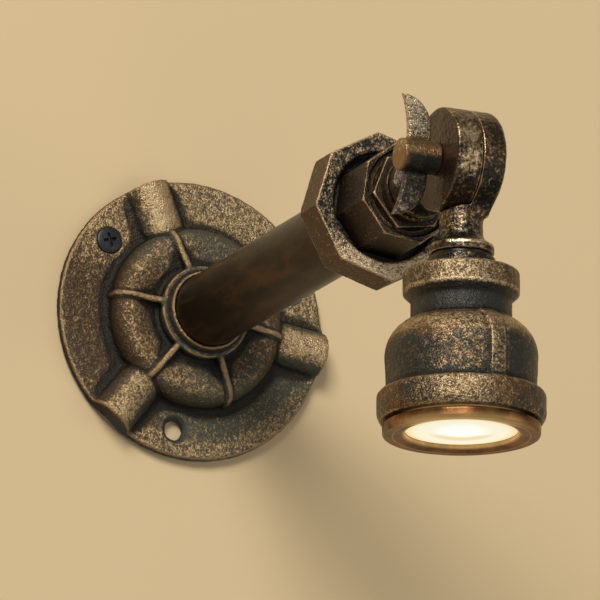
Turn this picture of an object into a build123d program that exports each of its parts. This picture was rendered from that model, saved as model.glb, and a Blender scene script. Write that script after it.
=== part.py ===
from build123d import *

import os
from math import atan2, cos, degrees, pi, sin, sqrt

# Industrial pipe wall light: a cast flange, a half-inch pipe, a union, a knuckle clamped by a wing
# screw, and a lamp head made from a reducing socket. Sizes are in millimetres, angles in degrees.
# The origin is the centre of the flange's back face, on the wall. +Z is up, +X is to the right of
# somebody who faces the wall, and the light stands out along -Y. "Out" is the distance from the
# wall, and "reach" is the distance from the knuckle's pivot.

# Fits
FIT = 0.05                  # radial clearance of a turned fit
PLAY = 0.1                  # gap between faces that slide on each other
CLEAR = 0.35                # gap between curved faces that pass each other

# Wall flange
FLANGE_R = 41.5
PLATE_T = 3.2
PLATE_ROUND = 0.9
PLATE_BACK_ROUND = 0.45
DOME_MID_R = 20.5           # middle of the cushion between boss and plate
DOME_HALF_W = 6.3
DOME_CREST = 10.8
DOME_DIP = 1.3              # fall of the cushion from its crest to the boss ring
DOME_FLANK_LEAN = 0.95      # lean of the cushion's outer flank towards its crest
DOME_FLANK_ROUND = 4.7
DOME_CREST_ROUND = 6.3
DOME_FOOT_ROUND = 1.6
DOME_SKIRT_W = 3.2          # band of the cushion's casting that lies under the plate's face
DOME_WALL = 2.8
HOLLOW_CORE_WALL = 1.1      # wall of the cushion's hollow outside the boss ring
HOLLOW_OUT_ROUND = 3.1
HOLLOW_IN_ROUND = 1.4
BOSS_R = 12.2               # inside of the raised ring
BOSS_OUT = 12.5
RING_W = 1.5                # raised ring round the boss
RING_RISE = 0.9
RING_OUT_ROUND = 0.75
RING_IN_ROUND = 0.6
HUB_RISE = 3.2              # height of the hub round the pipe above the boss's face
HUB_R = 11.6                # hub at its end, where the pipe goes in
HUB_ROUND = 0.35
LOBES = 3
FIRST_LOBE_AT = 111.5
LOBE_R = 7.0
LOBE_AXIS_OUT = 2.1
LOBE_WALL = 2.6
LOBE_FOOT_ROUND = 1.8
LOBE_END_WALL = 2.6         # wall that closes a lobe's hollow at the rim
RIM_ARCH_RISE = 1.6         # low arch left under that wall
LOBE_START_R = 23.6
RIBS = 6
RIB_T = 2.1
RIB_ROUND = 0.85
RIB_RISE = 1.3              # height of a rib over the cushion
RIB_FOOT = 0.9              # length of a rib past the cushion's foot
HOLE_AFTER_LOBE = 30.0
HOLE_CIRCLE_R = 33.5
HOLE_R = 2.75
SINK_R = 4.1
SINK_DEPTH = 1.5

# Pipe
PIPE_R = 10.65
PIPE_WALL = 2.65
PIPE_LENGTH = 121.0
PIPE_SEAT = 9.5             # length of pipe below the boss's face
PIPE_BEVEL = 0.6

# Union
UNION_ENGAGE = 9.0          # length of pipe inside the thread end
UNION_STOP_T = 2.2          # lip in front of the pipe's end
UNION_THREAD_R = 16.5
UNION_THREAD_LENGTH = 6.5
THREAD_END_R = 14.0
WASHER_T = 1.2
NUT_FLATS = 39.2
NUT_LENGTH = 10.8
NUT_SHOULDER_T = 2.6
NUT_BORE_R = 15.3
NUT_BEVEL = 0.7
NUT_TURN = 28.2             # angle of a flat's middle from +X towards +Z
TAIL_FLANGE_R = 16.2
TAIL_FLANGE_T = 2.6
TAIL_FLATS = 26.7
TAIL_LENGTH = 17.4
TAIL_BORE_R = 8.6
TAIL_SINK_R = 12.4
TAIL_SINK_DEPTH = 1.0
TAIL_BEVEL = 0.4
TAIL_TURN = 37.15

# Bushes and lock rings, alike at both ends of the knuckle
BUSH_R = 10.4
BUSH_LENGTH = 8.5
HEX_FLATS = 20.0
HEX_HEIGHT = 2.2
HEX_TURN = 39.0             # angle of a flat's middle from +X towards +Z
LOCK_RING_R = 9.2
LOCK_RING_T = 3.5
LOCK_RING_ROUND = 0.5
SPRING_WASHER_R = 8.0
SPRING_WASHER_T = 0.9
SPRING_WASHER_CUT = 1.0

# Knuckle
DISC_R = 14.1
DISC_HALF_T = 7.5
ARM_DISC_ROUND = 0.8
LAMP_DISC_ROUND = 2.1
WEB_HALF_W = 5.3
WEB_ROUND = 5.0
TAPER_START = 11.0          # reach where the web's outer face starts to lean in to the neck
TAPER_END = 19.2
TAPER_END_X = 4.4
NECK_R = 5.95
NECK_FLARE_HEIGHT = 2.1
NECK_FLARE_ROUND = 2.8
COLLAR_R = 8.9
COLLAR_T = 2.4
COLLAR_ROUND = 0.45
KNUCKLE_REACH = 26.1        # pivot to the collar's seat
TAIL_THREAD_R = 4.95
TAIL_PROUD = 0.9            # length of a knuckle's tail past the end of its bush
LEAD_BORE_R = 3.4
GROOVE_IN_R = 5.6
GROOVE_OUT_R = 10.6
GROOVE_DEPTH = 4.0
STOP_PIN_R = 1.2
STOP_PIN_AT = 10.0          # angle of the pin from straight down towards the wall
STOP_PIN_GRIP = 2.5         # length of the pin inside the arm's half
STOP_SLACK = 1.0            # angle left between pin and groove end at each limit
TILT_TO_WALL = 35.0
TILT_AWAY = 120.0
ARM_GROOVE_FROM = 40.0
ARM_GROOVE_TO = 140.0

# Wing screw
SCREW_R = 3.0
SCREW_HOLD = 5.4            # length of the screw inside the lamp's half
BARREL_R = 4.5
BARREL_LENGTH = 10.8
BARREL_ROUND = 0.6
WING_T = 2.3
WING_ROUND = 0.6
WING_TURN = 12.0            # turn about the screw's axis, the upper wing's tip away from the wall
WING_ROOT_REACH = 3.1       # wing heights are from the screw's axis, offsets from the barrel's seat
WING_OUTER_ROOT = 8.9
WING_OUTER_WAIST = 9.2
WING_WAIST_REACH = 9.0
WING_TIP = 11.4
WING_TIP_REACH = 16.3
WING_CROWN = 5.2
WING_CROWN_REACH = 13.8
WING_INNER_ROOT = 2.3
WING_SHOULDER_REACH = 6.9

# Lamp housing
BAND_R = 15.7
BAND_LENGTH = 6.4
BAND_TOP_ROUND = 1.3
BAND_FOOT_ROUND = 0.65
BAND_BEVEL = 1.9
THROAT_R = 13.6
THROAT_LENGTH = 13.6        # from the housing's top to the start of the shoulder
BELL_R = 20.5
BELL_FOOT_R = 20.1
SHOULDER_HEIGHT = 10.2
BELL_LENGTH = 33.2          # from the housing's top to the start of the mouth band
MOUTH_R = 22.6
MOUTH_FOOT_R = 21.8
MOUTH_ROUND = 1.7
HOUSING_LENGTH = 41.5
HOUSING_WALL = 3.3
CHAMBER_START = 14.7        # from the housing's top to the start of the chamber's slope
CHAMBER_ROUND = 3.3
MOUTH_THREAD_R = 18.1
LEDGE_DEPTH = 11.3          # from the mouth's end up to the heat sink's ledge
HOUSING_RIBS = 2
HOUSING_RIB_W = 4.6
HOUSING_RIB_RISE = 0.9
HOUSING_RIB_TURN = 2.0      # angle of the first rib from -Y towards +X

# Light source, from the trim ring upwards
TRIM_R = 21.1
TRIM_T = 3.1
TRIM_ROUND = 0.75
TRIM_TOP_ROUND = 0.55
TRIM_GAP = 0.7              # shadow gap between the housing and the trim ring
TRIM_SEAT_R = 19.4
TRIM_SKIRT_HEIGHT = 7.3
TRIM_SKIRT_WALL = 1.45
TRIM_LIP_T = 0.9
WINDOW_R = 15.1
GASKET_T = 0.8
LENS_T = 2.0
LENS_CROWN = 1.4
HOLDER_WALL = 0.9
REFLECTOR_WALL = 0.9
REFLECTOR_SMALL_R = 6.4
SINK_FLANGE_T = 2.1
FIN_COUNT = 16
FIN_T = 1.5
FIN_R = 16.5
FIN_HEIGHT = 6.4
SINK_CORE_R = 8.8
BOARD_R = 12.5
BOARD_T = 1.6
BOARD_SCREWS = 3
BOARD_SCREW_CIRCLE_R = 9.9
BOARD_SCREW_R = 1.0
BOARD_SCREW_HEAD_R = 1.7
BOARD_SCREW_HEAD_T = 1.0
BOARD_SCREW_GRIP = 4.0
CHIP_SIDE = 9.4
CHIP_T = 0.7
EMITTER_R = 4.1
EMITTER_T = 0.4
DRIVER_R = 9.2
DRIVER_HEIGHT = 10.4
DRIVER_ROUND = 1.0
DRIVER_FOOT_ROUND = 0.5

# Leads
LEAD_R = 3.1
LEAD_START_OUT = 1.0
LEAD_END_REACH = 14.9

# Places worked out along the arm, measured out from the wall
PIPE_START_OUT = BOSS_OUT - PIPE_SEAT
PIPE_END_OUT = PIPE_START_OUT + PIPE_LENGTH
THREAD_END_OUT = PIPE_END_OUT + UNION_STOP_T
WASHER_OUT = THREAD_END_OUT + WASHER_T
TAIL_BACK_OUT = WASHER_OUT + PLAY
SHOULDER_OUT = TAIL_BACK_OUT + TAIL_FLANGE_T + PLAY
NUT_FRONT_OUT = SHOULDER_OUT + NUT_SHOULDER_T
TAIL_FRONT_OUT = SHOULDER_OUT + TAIL_LENGTH
BUSH_SEAT_OUT = TAIL_FRONT_OUT - TAIL_SINK_DEPTH
HEX_FRONT_OUT = BUSH_SEAT_OUT + HEX_HEIGHT
LOCK_RING_OUT = HEX_FRONT_OUT + LOCK_RING_T
COLLAR_OUT = LOCK_RING_OUT + SPRING_WASHER_T
PIVOT_OUT = COLLAR_OUT + KNUCKLE_REACH

# Places worked out down the lamp, as reach from the pivot
HOUSING_TOP = KNUCKLE_REACH + SPRING_WASHER_T + LOCK_RING_T
HOUSING_END = HOUSING_TOP + HOUSING_LENGTH
TRIM_TOP = HOUSING_END + TRIM_GAP
TRIM_END = TRIM_TOP + TRIM_T
LIP_TOP = TRIM_END - TRIM_LIP_T - TRIM_ROUND
LENS_SEAT = LIP_TOP - GASKET_T
LENS_TOP = LENS_SEAT - LENS_T
LEDGE = HOUSING_END - LEDGE_DEPTH
BOARD_TOP = LEDGE + SINK_FLANGE_T
BOARD_FACE = BOARD_TOP + BOARD_T
DRIVER_BASE = LEDGE - FIN_HEIGHT
DRIVER_TOP = DRIVER_BASE - DRIVER_HEIGHT
TAIL_END_REACH = HOUSING_TOP + BUSH_LENGTH + TAIL_PROUD
BORE_R = PIPE_R - PIPE_WALL
SKIRT_R = MOUTH_THREAD_R - FIT
SKIRT_IN_R = SKIRT_R - TRIM_SKIRT_WALL
HOLDER_R = SKIRT_IN_R - FIT

# Frames: local Z runs out from the wall, down the lamp, or from the pivot back along the arm
OUT = Plane(origin=(0, 0, 0), x_dir=(1, 0, 0), z_dir=(0, -1, 0))
DOWN = Plane(origin=(0, -PIVOT_OUT, 0), x_dir=(1, 0, 0), z_dir=(0, 0, -1))
BACK = Plane(origin=(0, -PIVOT_OUT, 0), x_dir=(1, 0, 0), z_dir=(0, 1, 0))
PIVOT = Pos(0, -PIVOT_OUT, 0)


def section(*corners):
    """Face in the XZ plane from (radius, height[, rounding]) corners."""
    points = [(corner[0], 0, corner[1]) for corner in corners]
    roundings = [corner[2] if len(corner) > 2 else 0 for corner in corners]
    return make_face(FilletPolyline(*points, radius=roundings, close=True))


def turned(*corners):
    """Solid of revolution about the local Z axis."""
    return revolve(section(*corners), Axis.Z, 360)


def rod(radius, start, end):
    """Round bar on the local Z axis."""
    return Pos(0, 0, start) * Cylinder(radius, end - start, align=(Align.CENTER, Align.CENTER, Align.MIN))


def tube(outer, inner, start, end):
    """Hollow round bar on the local Z axis."""
    return rod(outer, start, end) - rod(inner, start, end)


def flats_bar(sides, across_flats, turn, start, end):
    """Regular bar on the local Z axis, with the middle of one flat at the angle turn."""
    corner_r = across_flats / 2 / cos(pi / sides)
    outline = RegularPolygon(corner_r, sides, rotation=turn + 180 / sides)
    return Pos(0, 0, start) * extrude(outline, end - start)


def bevelled_bar(sides, across_flats, turn, start, end, bevel):
    """Regular bar whose corners are turned off at both ends."""
    corner_r = across_flats / 2 / cos(pi / sides)
    cone = turned(
        (0, start), (corner_r - bevel, start), (corner_r + bevel, start + bevel),
        (corner_r + bevel, end - bevel), (corner_r - bevel, end), (0, end),
    )
    return flats_bar(sides, across_flats, turn, start, end) & cone


def round_pattern(count, first, radius):
    """Places round the local Z axis, each with its X axis pointing outwards."""
    return [
        Rot(0, 0, first + step * 360 / count) * Pos(radius, 0, 0)
        for step in range(count)
    ]


# ---------------------------------------------------------------- wall flange

def cushion():
    """The plate, the cushion that rises from it, and the boss with its raised ring and hub."""
    ring_out_r = BOSS_R + RING_W
    plate = turned(
        (0, 0), (FLANGE_R, 0, PLATE_BACK_ROUND), (FLANGE_R, PLATE_T, PLATE_ROUND), (0, PLATE_T),
    )
    foot_r = DOME_MID_R + DOME_HALF_W
    skirt_r = foot_r + DOME_SKIRT_W
    dome = turned(
        (0, 0), (skirt_r, 0), (skirt_r, PLATE_T), (foot_r, PLATE_T, DOME_FOOT_ROUND),
        (foot_r - DOME_FLANK_LEAN, DOME_CREST, DOME_FLANK_ROUND), (DOME_MID_R, DOME_CREST, DOME_CREST_ROUND),
        (ring_out_r, DOME_CREST - DOME_DIP), (0, DOME_CREST - DOME_DIP),
    )
    boss = turned(
        (BOSS_R - RING_W, 0), (ring_out_r, 0), (ring_out_r, BOSS_OUT + RING_RISE, RING_OUT_ROUND),
        (BOSS_R, BOSS_OUT + RING_RISE, RING_IN_ROUND), (BOSS_R, BOSS_OUT),
        (HUB_R, BOSS_OUT + HUB_RISE, HUB_ROUND), (BOSS_R - RING_W, BOSS_OUT + HUB_RISE),
    )
    return plate + dome + boss


def arch_section(radius, foot_round, floor):
    """Half-barrel outline with flared feet: X is across the lobe, Y is out from the wall."""
    rise = floor + foot_round - LOBE_AXIS_OUT
    foot_x = sqrt((radius + foot_round) ** 2 - rise ** 2)
    share = radius / (radius + foot_round)
    touch = (foot_x * share, LOBE_AXIS_OUT + rise * share)
    middle = (atan2(rise, foot_x) + pi / 2) / 2 + pi
    flare = (foot_x + foot_round * cos(middle), floor + foot_round + foot_round * sin(middle))
    crest = (0, LOBE_AXIS_OUT + radius)
    right = [Line((foot_x, 0), (foot_x, floor)), ThreePointArc((foot_x, floor), flare, touch)]
    left = [mirror(edge, Plane.YZ) for edge in right]
    arch = ThreePointArc(touch, crest, (-touch[0], touch[1]))
    return make_face([*right, arch, *left, Line((-foot_x, 0), (foot_x, 0))])


def along_radius(face, start, end):
    """Bar with the given section, laid along the local X axis on the wall plane."""
    lie = Plane(origin=(start, 0, 0), x_dir=(0, 1, 0), z_dir=(1, 0, 0))
    return extrude(lie * face, end - start)


def lobe_bars():
    """Solid half-barrels that run from the cushion to the rim."""
    face = arch_section(LOBE_R, LOBE_FOOT_ROUND, PLATE_T)
    bar = along_radius(face, LOBE_START_R, FLANGE_R + LOBE_R)
    bars = [place * bar for place in round_pattern(LOBES, FIRST_LOBE_AT, 0)]
    return [bar & rod(FLANGE_R, 0, LOBE_AXIS_OUT + 2 * LOBE_R) for bar in bars]


def lobe_hollow():
    """The space under one lobe, closed at the rim but for a low arch."""
    inner = LOBE_R - LOBE_WALL
    end = FLANGE_R - LOBE_END_WALL
    box = Pos(0, LOBE_AXIS_OUT / 2) * Rectangle(2 * inner, LOBE_AXIS_OUT)
    arch = Pos(0, LOBE_AXIS_OUT) * Circle(inner)
    low = make_face([ThreePointArc((inner, 0), (0, RIM_ARCH_RISE), (-inner, 0)), Line((-inner, 0), (inner, 0))])
    return along_radius(box + arch, DOME_MID_R, end) + along_radius(low, end - PLAY, FLANGE_R + LOBE_R)


def rib():
    """One narrow round-topped rib that follows the cushion from the boss ring down to the plate."""
    start_r = BOSS_R + RING_W / 2
    foot_r = DOME_MID_R + DOME_HALF_W + RIB_FOOT
    root, crest = PLATE_T / 2, DOME_CREST + RIB_RISE
    blade = extrude(section(
        (start_r, root), (foot_r, root), (foot_r - DOME_FLANK_LEAN, crest, DOME_FLANK_ROUND + RIB_RISE),
        (DOME_MID_R, crest, DOME_CREST_ROUND), (start_r, BOSS_OUT + RING_RISE - PLAY),
    ), RIB_T / 2, both=True)
    flats = blade.faces().filter_by(Axis.Y).edges()
    top = [edge for edge in flats if edge.center().X > start_r + PLAY and edge.center().Z > PLATE_T]
    return fillet(top, RIB_ROUND)


def dome_hollow():
    """The round space behind the cushion."""
    inner = BOSS_R + RING_W + HOLLOW_CORE_WALL
    outer = DOME_MID_R + DOME_HALF_W - DOME_WALL
    ceiling = DOME_CREST - DOME_WALL
    return turned(
        (inner, -PLATE_T), (outer, -PLATE_T), (outer, ceiling, HOLLOW_OUT_ROUND),
        (inner, ceiling, HOLLOW_IN_ROUND),
    )


def wall_flange():
    """The cast flange: hollow cushion, three wire lobes, six ribs, boss and three countersunk holes."""
    body = cushion()
    for bar in lobe_bars():
        body += bar
    for place in round_pattern(RIBS, FIRST_LOBE_AT, 0):
        body += place * rib()
    body -= dome_hollow()
    for place in round_pattern(LOBES, FIRST_LOBE_AT, 0):
        body -= place * lobe_hollow()
    body -= rod(PIPE_R + FIT, PIPE_START_OUT, BOSS_OUT + HUB_RISE * 2)
    body -= rod(BORE_R, -PLATE_T, BOSS_OUT)
    hole = rod(HOLE_R, -PLATE_T, PLATE_T * 2) + turned(
        (0, PLATE_T - SINK_DEPTH), (HOLE_R, PLATE_T - SINK_DEPTH), (SINK_R, PLATE_T),
        (SINK_R, PLATE_T * 2), (0, PLATE_T * 2),
    )
    for place in round_pattern(LOBES, FIRST_LOBE_AT + HOLE_AFTER_LOBE, HOLE_CIRCLE_R):
        body -= place * hole
    return OUT * body


# ---------------------------------------------------------------- pipe and union

def supply_pipe():
    """Half-inch pipe between the flange's boss and the union."""
    return OUT * turned(
        (BORE_R, PIPE_START_OUT), (PIPE_R - PIPE_BEVEL, PIPE_START_OUT),
        (PIPE_R, PIPE_START_OUT + PIPE_BEVEL), (PIPE_R, PIPE_END_OUT - PIPE_BEVEL),
        (PIPE_R - PIPE_BEVEL, PIPE_END_OUT), (BORE_R, PIPE_END_OUT),
    )


def union_thread_end():
    """Screwed on the pipe; carries the thread for the union nut."""
    back = PIPE_END_OUT - UNION_ENGAGE
    step = THREAD_END_OUT - UNION_THREAD_LENGTH
    return OUT * turned(
        (PIPE_R + FIT, back), (THREAD_END_R, back, PIPE_BEVEL), (THREAD_END_R, step),
        (UNION_THREAD_R, step, PIPE_BEVEL), (UNION_THREAD_R, THREAD_END_OUT, PIPE_BEVEL),
        (BORE_R, THREAD_END_OUT), (BORE_R, PIPE_END_OUT), (PIPE_R + FIT, PIPE_END_OUT),
    )


def union_washer():
    """Fibre washer on the thread end's seat."""
    return OUT * tube(TAIL_FLANGE_R, BORE_R, THREAD_END_OUT, WASHER_OUT)


def union_nut():
    """Eight-sided nut that clamps the tail end's flange on the washer."""
    nut = bevelled_bar(8, NUT_FLATS, NUT_TURN, NUT_FRONT_OUT - NUT_LENGTH, NUT_FRONT_OUT, NUT_BEVEL)
    nut -= rod(UNION_THREAD_R + FIT, NUT_FRONT_OUT - NUT_LENGTH, SHOULDER_OUT)
    nut -= turned(
        (0, SHOULDER_OUT), (NUT_BORE_R, SHOULDER_OUT), (NUT_BORE_R, NUT_FRONT_OUT - NUT_BEVEL),
        (NUT_BORE_R + NUT_BEVEL, NUT_FRONT_OUT), (0, NUT_FRONT_OUT),
    )
    return OUT * nut


def union_tail_end():
    """Flanged eight-sided tail that turns in the nut and takes the arm's bush."""
    bar = bevelled_bar(8, TAIL_FLATS, TAIL_TURN, SHOULDER_OUT - PLAY, TAIL_FRONT_OUT, TAIL_BEVEL)
    tail = bar + rod(TAIL_FLANGE_R, TAIL_BACK_OUT, TAIL_BACK_OUT + TAIL_FLANGE_T)
    tail -= rod(TAIL_BORE_R, TAIL_BACK_OUT, TAIL_FRONT_OUT)
    tail -= rod(BUSH_R + FIT, BUSH_SEAT_OUT - BUSH_LENGTH, TAIL_FRONT_OUT)
    tail -= rod(TAIL_SINK_R, BUSH_SEAT_OUT, TAIL_FRONT_OUT)
    return OUT * tail


def arm_bush():
    """Bush with a six-sided head, screwed into the tail end."""
    head = bevelled_bar(6, HEX_FLATS, HEX_TURN, BUSH_SEAT_OUT, HEX_FRONT_OUT, PIPE_BEVEL)
    bush = rod(BUSH_R, BUSH_SEAT_OUT - BUSH_LENGTH, BUSH_SEAT_OUT) + head
    return OUT * (bush - rod(TAIL_THREAD_R + FIT, BUSH_SEAT_OUT - BUSH_LENGTH, HEX_FRONT_OUT))


def lamp_top_bush():
    """Bush that closes the housing's small end, flush with its top."""
    end = HOUSING_TOP + BUSH_LENGTH
    return DOWN * turned(
        (TAIL_THREAD_R + FIT, HOUSING_TOP), (BUSH_R - PIPE_BEVEL, HOUSING_TOP),
        (BUSH_R, HOUSING_TOP + PIPE_BEVEL), (BUSH_R, end), (TAIL_THREAD_R + FIT, end),
    )


# ---------------------------------------------------------------- knuckle

def cross_bar(radius, start, end):
    """Round bar along local X."""
    return Rot(0, 90, 0) * rod(radius, start, end)


def lock_ring():
    """Round nut that locks a knuckle's tail, in reach from the pivot."""
    top = KNUCKLE_REACH + SPRING_WASHER_T
    end = top + LOCK_RING_T
    return turned(
        (TAIL_THREAD_R + FIT, top), (LOCK_RING_R, top, LOCK_RING_ROUND),
        (LOCK_RING_R, end, LOCK_RING_ROUND), (TAIL_THREAD_R + FIT, end),
    )


def spring_washer():
    """Split washer between a collar and its lock ring, in reach from the pivot."""
    end = KNUCKLE_REACH + SPRING_WASHER_T
    ring = tube(SPRING_WASHER_R, TAIL_THREAD_R + FIT, KNUCKLE_REACH, end)
    cut = Pos(0, -SPRING_WASHER_R / 2, end) * Box(SPRING_WASHER_CUT, SPRING_WASHER_R, SPRING_WASHER_T * 4)
    return ring - cut


def ring_groove(side, start, end):
    """Groove in the seam face of one half, between two angles from straight down towards the wall."""
    face = make_face(Polyline(
        (0, 0, -GROOVE_IN_R), (0, 0, -GROOVE_OUT_R), (side * GROOVE_DEPTH, 0, -GROOVE_OUT_R),
        (side * GROOVE_DEPTH, 0, -GROOVE_IN_R), close=True,
    ))
    return PIVOT * Rot(start, 0, 0) * revolve(face, Axis.X, end - start)


def pin_bar(start, end):
    """Bar where the stop pin stands, between two places along X."""
    middle_r = (GROOVE_IN_R + GROOVE_OUT_R) / 2
    return PIVOT * Rot(STOP_PIN_AT, 0, 0) * Pos(0, 0, -middle_r) * cross_bar(STOP_PIN_R, start, end)


def knuckle_disc(rounding):
    """Half disc with its web, between the seam and the outer face, on local +X."""
    web_axis_y = WEB_HALF_W + WEB_ROUND
    web_axis_z = sqrt((DISC_R + WEB_ROUND) ** 2 - web_axis_y ** 2)
    share = DISC_R / (DISC_R + WEB_ROUND)
    touch = (web_axis_y * share, web_axis_z * share)
    middle = (atan2(-web_axis_z, -web_axis_y) - pi) / 2
    sweep = (web_axis_y + WEB_ROUND * cos(middle), web_axis_z + WEB_ROUND * sin(middle))
    foot = (WEB_HALF_W, web_axis_z)
    web = make_face([
        ThreePointArc(touch, sweep, foot),
        Line(foot, (-foot[0], foot[1])),
        ThreePointArc((-foot[0], foot[1]), (-sweep[0], sweep[1]), (-touch[0], touch[1])),
        Line((-touch[0], touch[1]), touch),
    ])
    outline = Plane.YZ * (Circle(DISC_R) + web)
    slab = Pos(PLAY, 0, 0) * extrude(outline, DISC_HALF_T - PLAY)
    rim = slab.edges().filter_by_position(Axis.X, DISC_HALF_T - PLAY / 2, DISC_HALF_T + PLAY)
    slab = fillet(rim, rounding)
    beyond = DISC_HALF_T * 2
    wedge = make_face(Polyline(
        (DISC_HALF_T, 0, TAPER_START), (beyond, 0, TAPER_START), (beyond, 0, TAPER_END),
        (TAPER_END_X, 0, TAPER_END), close=True,
    ))
    return slab - extrude(wedge, DISC_R, both=True)


def knuckle_half(rounding):
    """Half knuckle on local +X, with its neck, collar and threaded tail along local +Z."""
    collar_top = KNUCKLE_REACH - COLLAR_T
    stem = turned(
        (0, GROOVE_OUT_R), (NECK_R, GROOVE_OUT_R), (NECK_R, collar_top - NECK_FLARE_HEIGHT, NECK_FLARE_ROUND),
        (COLLAR_R, collar_top, COLLAR_ROUND), (COLLAR_R, KNUCKLE_REACH, COLLAR_ROUND),
        (TAIL_THREAD_R, KNUCKLE_REACH), (TAIL_THREAD_R, TAIL_END_REACH), (0, TAIL_END_REACH),
    )
    clearance = Rot(0, -90, 0) * rod(DISC_R + CLEAR, -PLAY, DISC_HALF_T * 2)
    half = stem - clearance + knuckle_disc(rounding)
    return half - rod(LEAD_BORE_R, (GROOVE_IN_R + GROOVE_OUT_R) / 2, TAIL_END_REACH)


def lamp_knuckle():
    """Lamp side of the knuckle: the wing screw's thread, and the groove that the stop pin runs in."""
    slack = STOP_SLACK + degrees(STOP_PIN_R / ((GROOVE_IN_R + GROOVE_OUT_R) / 2))
    half = DOWN * (knuckle_half(LAMP_DISC_ROUND) - cross_bar(SCREW_R + FIT, 0, SCREW_HOLD + PLAY))
    return half - ring_groove(1, STOP_PIN_AT - TILT_TO_WALL - slack, STOP_PIN_AT + TILT_AWAY + slack)


def arm_knuckle():
    """Arm side of the knuckle: plain screw hole, lead groove and the stop pin's hole."""
    half = mirror(knuckle_half(ARM_DISC_ROUND), Plane.YZ)
    half = BACK * (half - cross_bar(SCREW_R + FIT, -DISC_HALF_T * 2, 0))
    half -= ring_groove(-1, ARM_GROOVE_FROM, ARM_GROOVE_TO)
    return half - pin_bar(-STOP_PIN_GRIP - PLAY, 0)


def stop_pin():
    """Pin pressed into the arm's half; its end runs in the lamp half's groove."""
    return pin_bar(-STOP_PIN_GRIP - PLAY, GROOVE_DEPTH - CLEAR)


def wing_outline():
    """Upper wing in the XZ plane, from its root on the barrel to its leaning tip."""
    seat = -DISC_HALF_T - PLAY
    outer_root = (seat - WING_OUTER_ROOT, 0, WING_ROOT_REACH)
    waist = (seat - WING_OUTER_WAIST, 0, WING_WAIST_REACH)
    tip = (seat - WING_TIP, 0, WING_TIP_REACH)
    crown = (seat - WING_CROWN, 0, WING_CROWN_REACH)
    shoulder = (seat - WING_INNER_ROOT, 0, WING_SHOULDER_REACH)
    inner_root = (seat - WING_INNER_ROOT, 0, WING_ROOT_REACH)
    return make_face([
        Line(inner_root, outer_root), ThreePointArc(outer_root, waist, tip),
        ThreePointArc(tip, crown, shoulder), Line(shoulder, inner_root),
    ])


def wing_screw():
    """Barrel with two wings, and the screw that clamps the two halves."""
    seat = -DISC_HALF_T - PLAY
    end = BARREL_LENGTH - seat
    barrel = Rot(0, -90, 0) * turned((0, -seat), (BARREL_R, -seat), (BARREL_R, end, BARREL_ROUND), (0, end))
    wing = extrude(wing_outline(), WING_T / 2, both=True)
    flats = wing.faces().filter_by(Axis.Y).edges()
    wing = fillet([edge for edge in flats if edge.center().Z > WING_ROOT_REACH + PLAY], WING_ROUND)
    screw = barrel + cross_bar(SCREW_R, seat, SCREW_HOLD) + wing + Rot(180, 0, 0) * wing
    return PIVOT * Rot(WING_TURN, 0, 0) * screw


# ---------------------------------------------------------------- lamp housing

def housing_skin(rise):
    """Outline of the bell and shoulder, raised by a rib's height, as a solid of revolution."""
    start, end = HOUSING_TOP + THROAT_LENGTH, HOUSING_TOP + BELL_LENGTH
    shoulder_end = start + SHOULDER_HEIGHT
    width = BELL_R - THROAT_R
    arc_r = (width ** 2 + SHOULDER_HEIGHT ** 2) / (2 * width)
    middle = pi - atan2(SHOULDER_HEIGHT, arc_r - width) / 2
    crest = (BELL_R + rise - arc_r - arc_r * cos(middle), 0, shoulder_end - arc_r * sin(middle))
    return revolve(make_face([
        Line((0, 0, start), (THROAT_R + rise, 0, start)),
        ThreePointArc((THROAT_R + rise, 0, start), crest, (BELL_R + rise, 0, shoulder_end)),
        Line((BELL_R + rise, 0, shoulder_end), (BELL_FOOT_R + rise, 0, end)),
        Line((BELL_FOOT_R + rise, 0, end), (0, 0, end)),
        Line((0, 0, end), (0, 0, start)),
    ]), Axis.Z, 360)


def housing_bands():
    """Top band with its throat, and the mouth band."""
    top, mouth = HOUSING_TOP, HOUSING_TOP + BELL_LENGTH
    band = turned(
        (0, top), (BAND_R, top, BAND_TOP_ROUND), (BAND_R, top + BAND_LENGTH, BAND_FOOT_ROUND),
        (THROAT_R, top + BAND_LENGTH + BAND_BEVEL), (THROAT_R, top + THROAT_LENGTH),
        (0, top + THROAT_LENGTH),
    )
    foot = turned(
        (0, mouth), (MOUTH_R, mouth, MOUTH_ROUND), (MOUTH_R, HOUSING_END - MOUTH_ROUND, MOUTH_ROUND),
        (MOUTH_FOOT_R, HOUSING_END), (0, HOUSING_END),
    )
    return band + foot


def housing_hollow():
    """Bush thread, chamber, ledge and mouth thread."""
    chamber_r = BELL_R - HOUSING_WALL
    shoulder_end = HOUSING_TOP + THROAT_LENGTH + SHOULDER_HEIGHT
    return turned(
        (0, HOUSING_TOP), (BUSH_R + FIT, HOUSING_TOP), (BUSH_R + FIT, HOUSING_TOP + CHAMBER_START),
        (chamber_r, shoulder_end, CHAMBER_ROUND), (chamber_r, LEDGE), (MOUTH_THREAD_R, LEDGE),
        (MOUTH_THREAD_R, HOUSING_END), (0, HOUSING_END),
    )


def lamp_housing():
    """Reducing socket: banded small end, bell with two long ribs, and a wide banded mouth."""
    body = housing_skin(0) + housing_bands()
    strip = Pos(0, 0, HOUSING_TOP) * Box(
        HOUSING_RIB_W, MOUTH_R, HOUSING_LENGTH, align=(Align.CENTER, Align.MIN, Align.MIN),
    )
    raised = housing_skin(HOUSING_RIB_RISE)
    for number in range(HOUSING_RIBS):
        body += raised & Rot(0, 0, number * 360 / HOUSING_RIBS - HOUSING_RIB_TURN) * strip
    return DOWN * (body - housing_hollow())


# ---------------------------------------------------------------- light source

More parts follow.
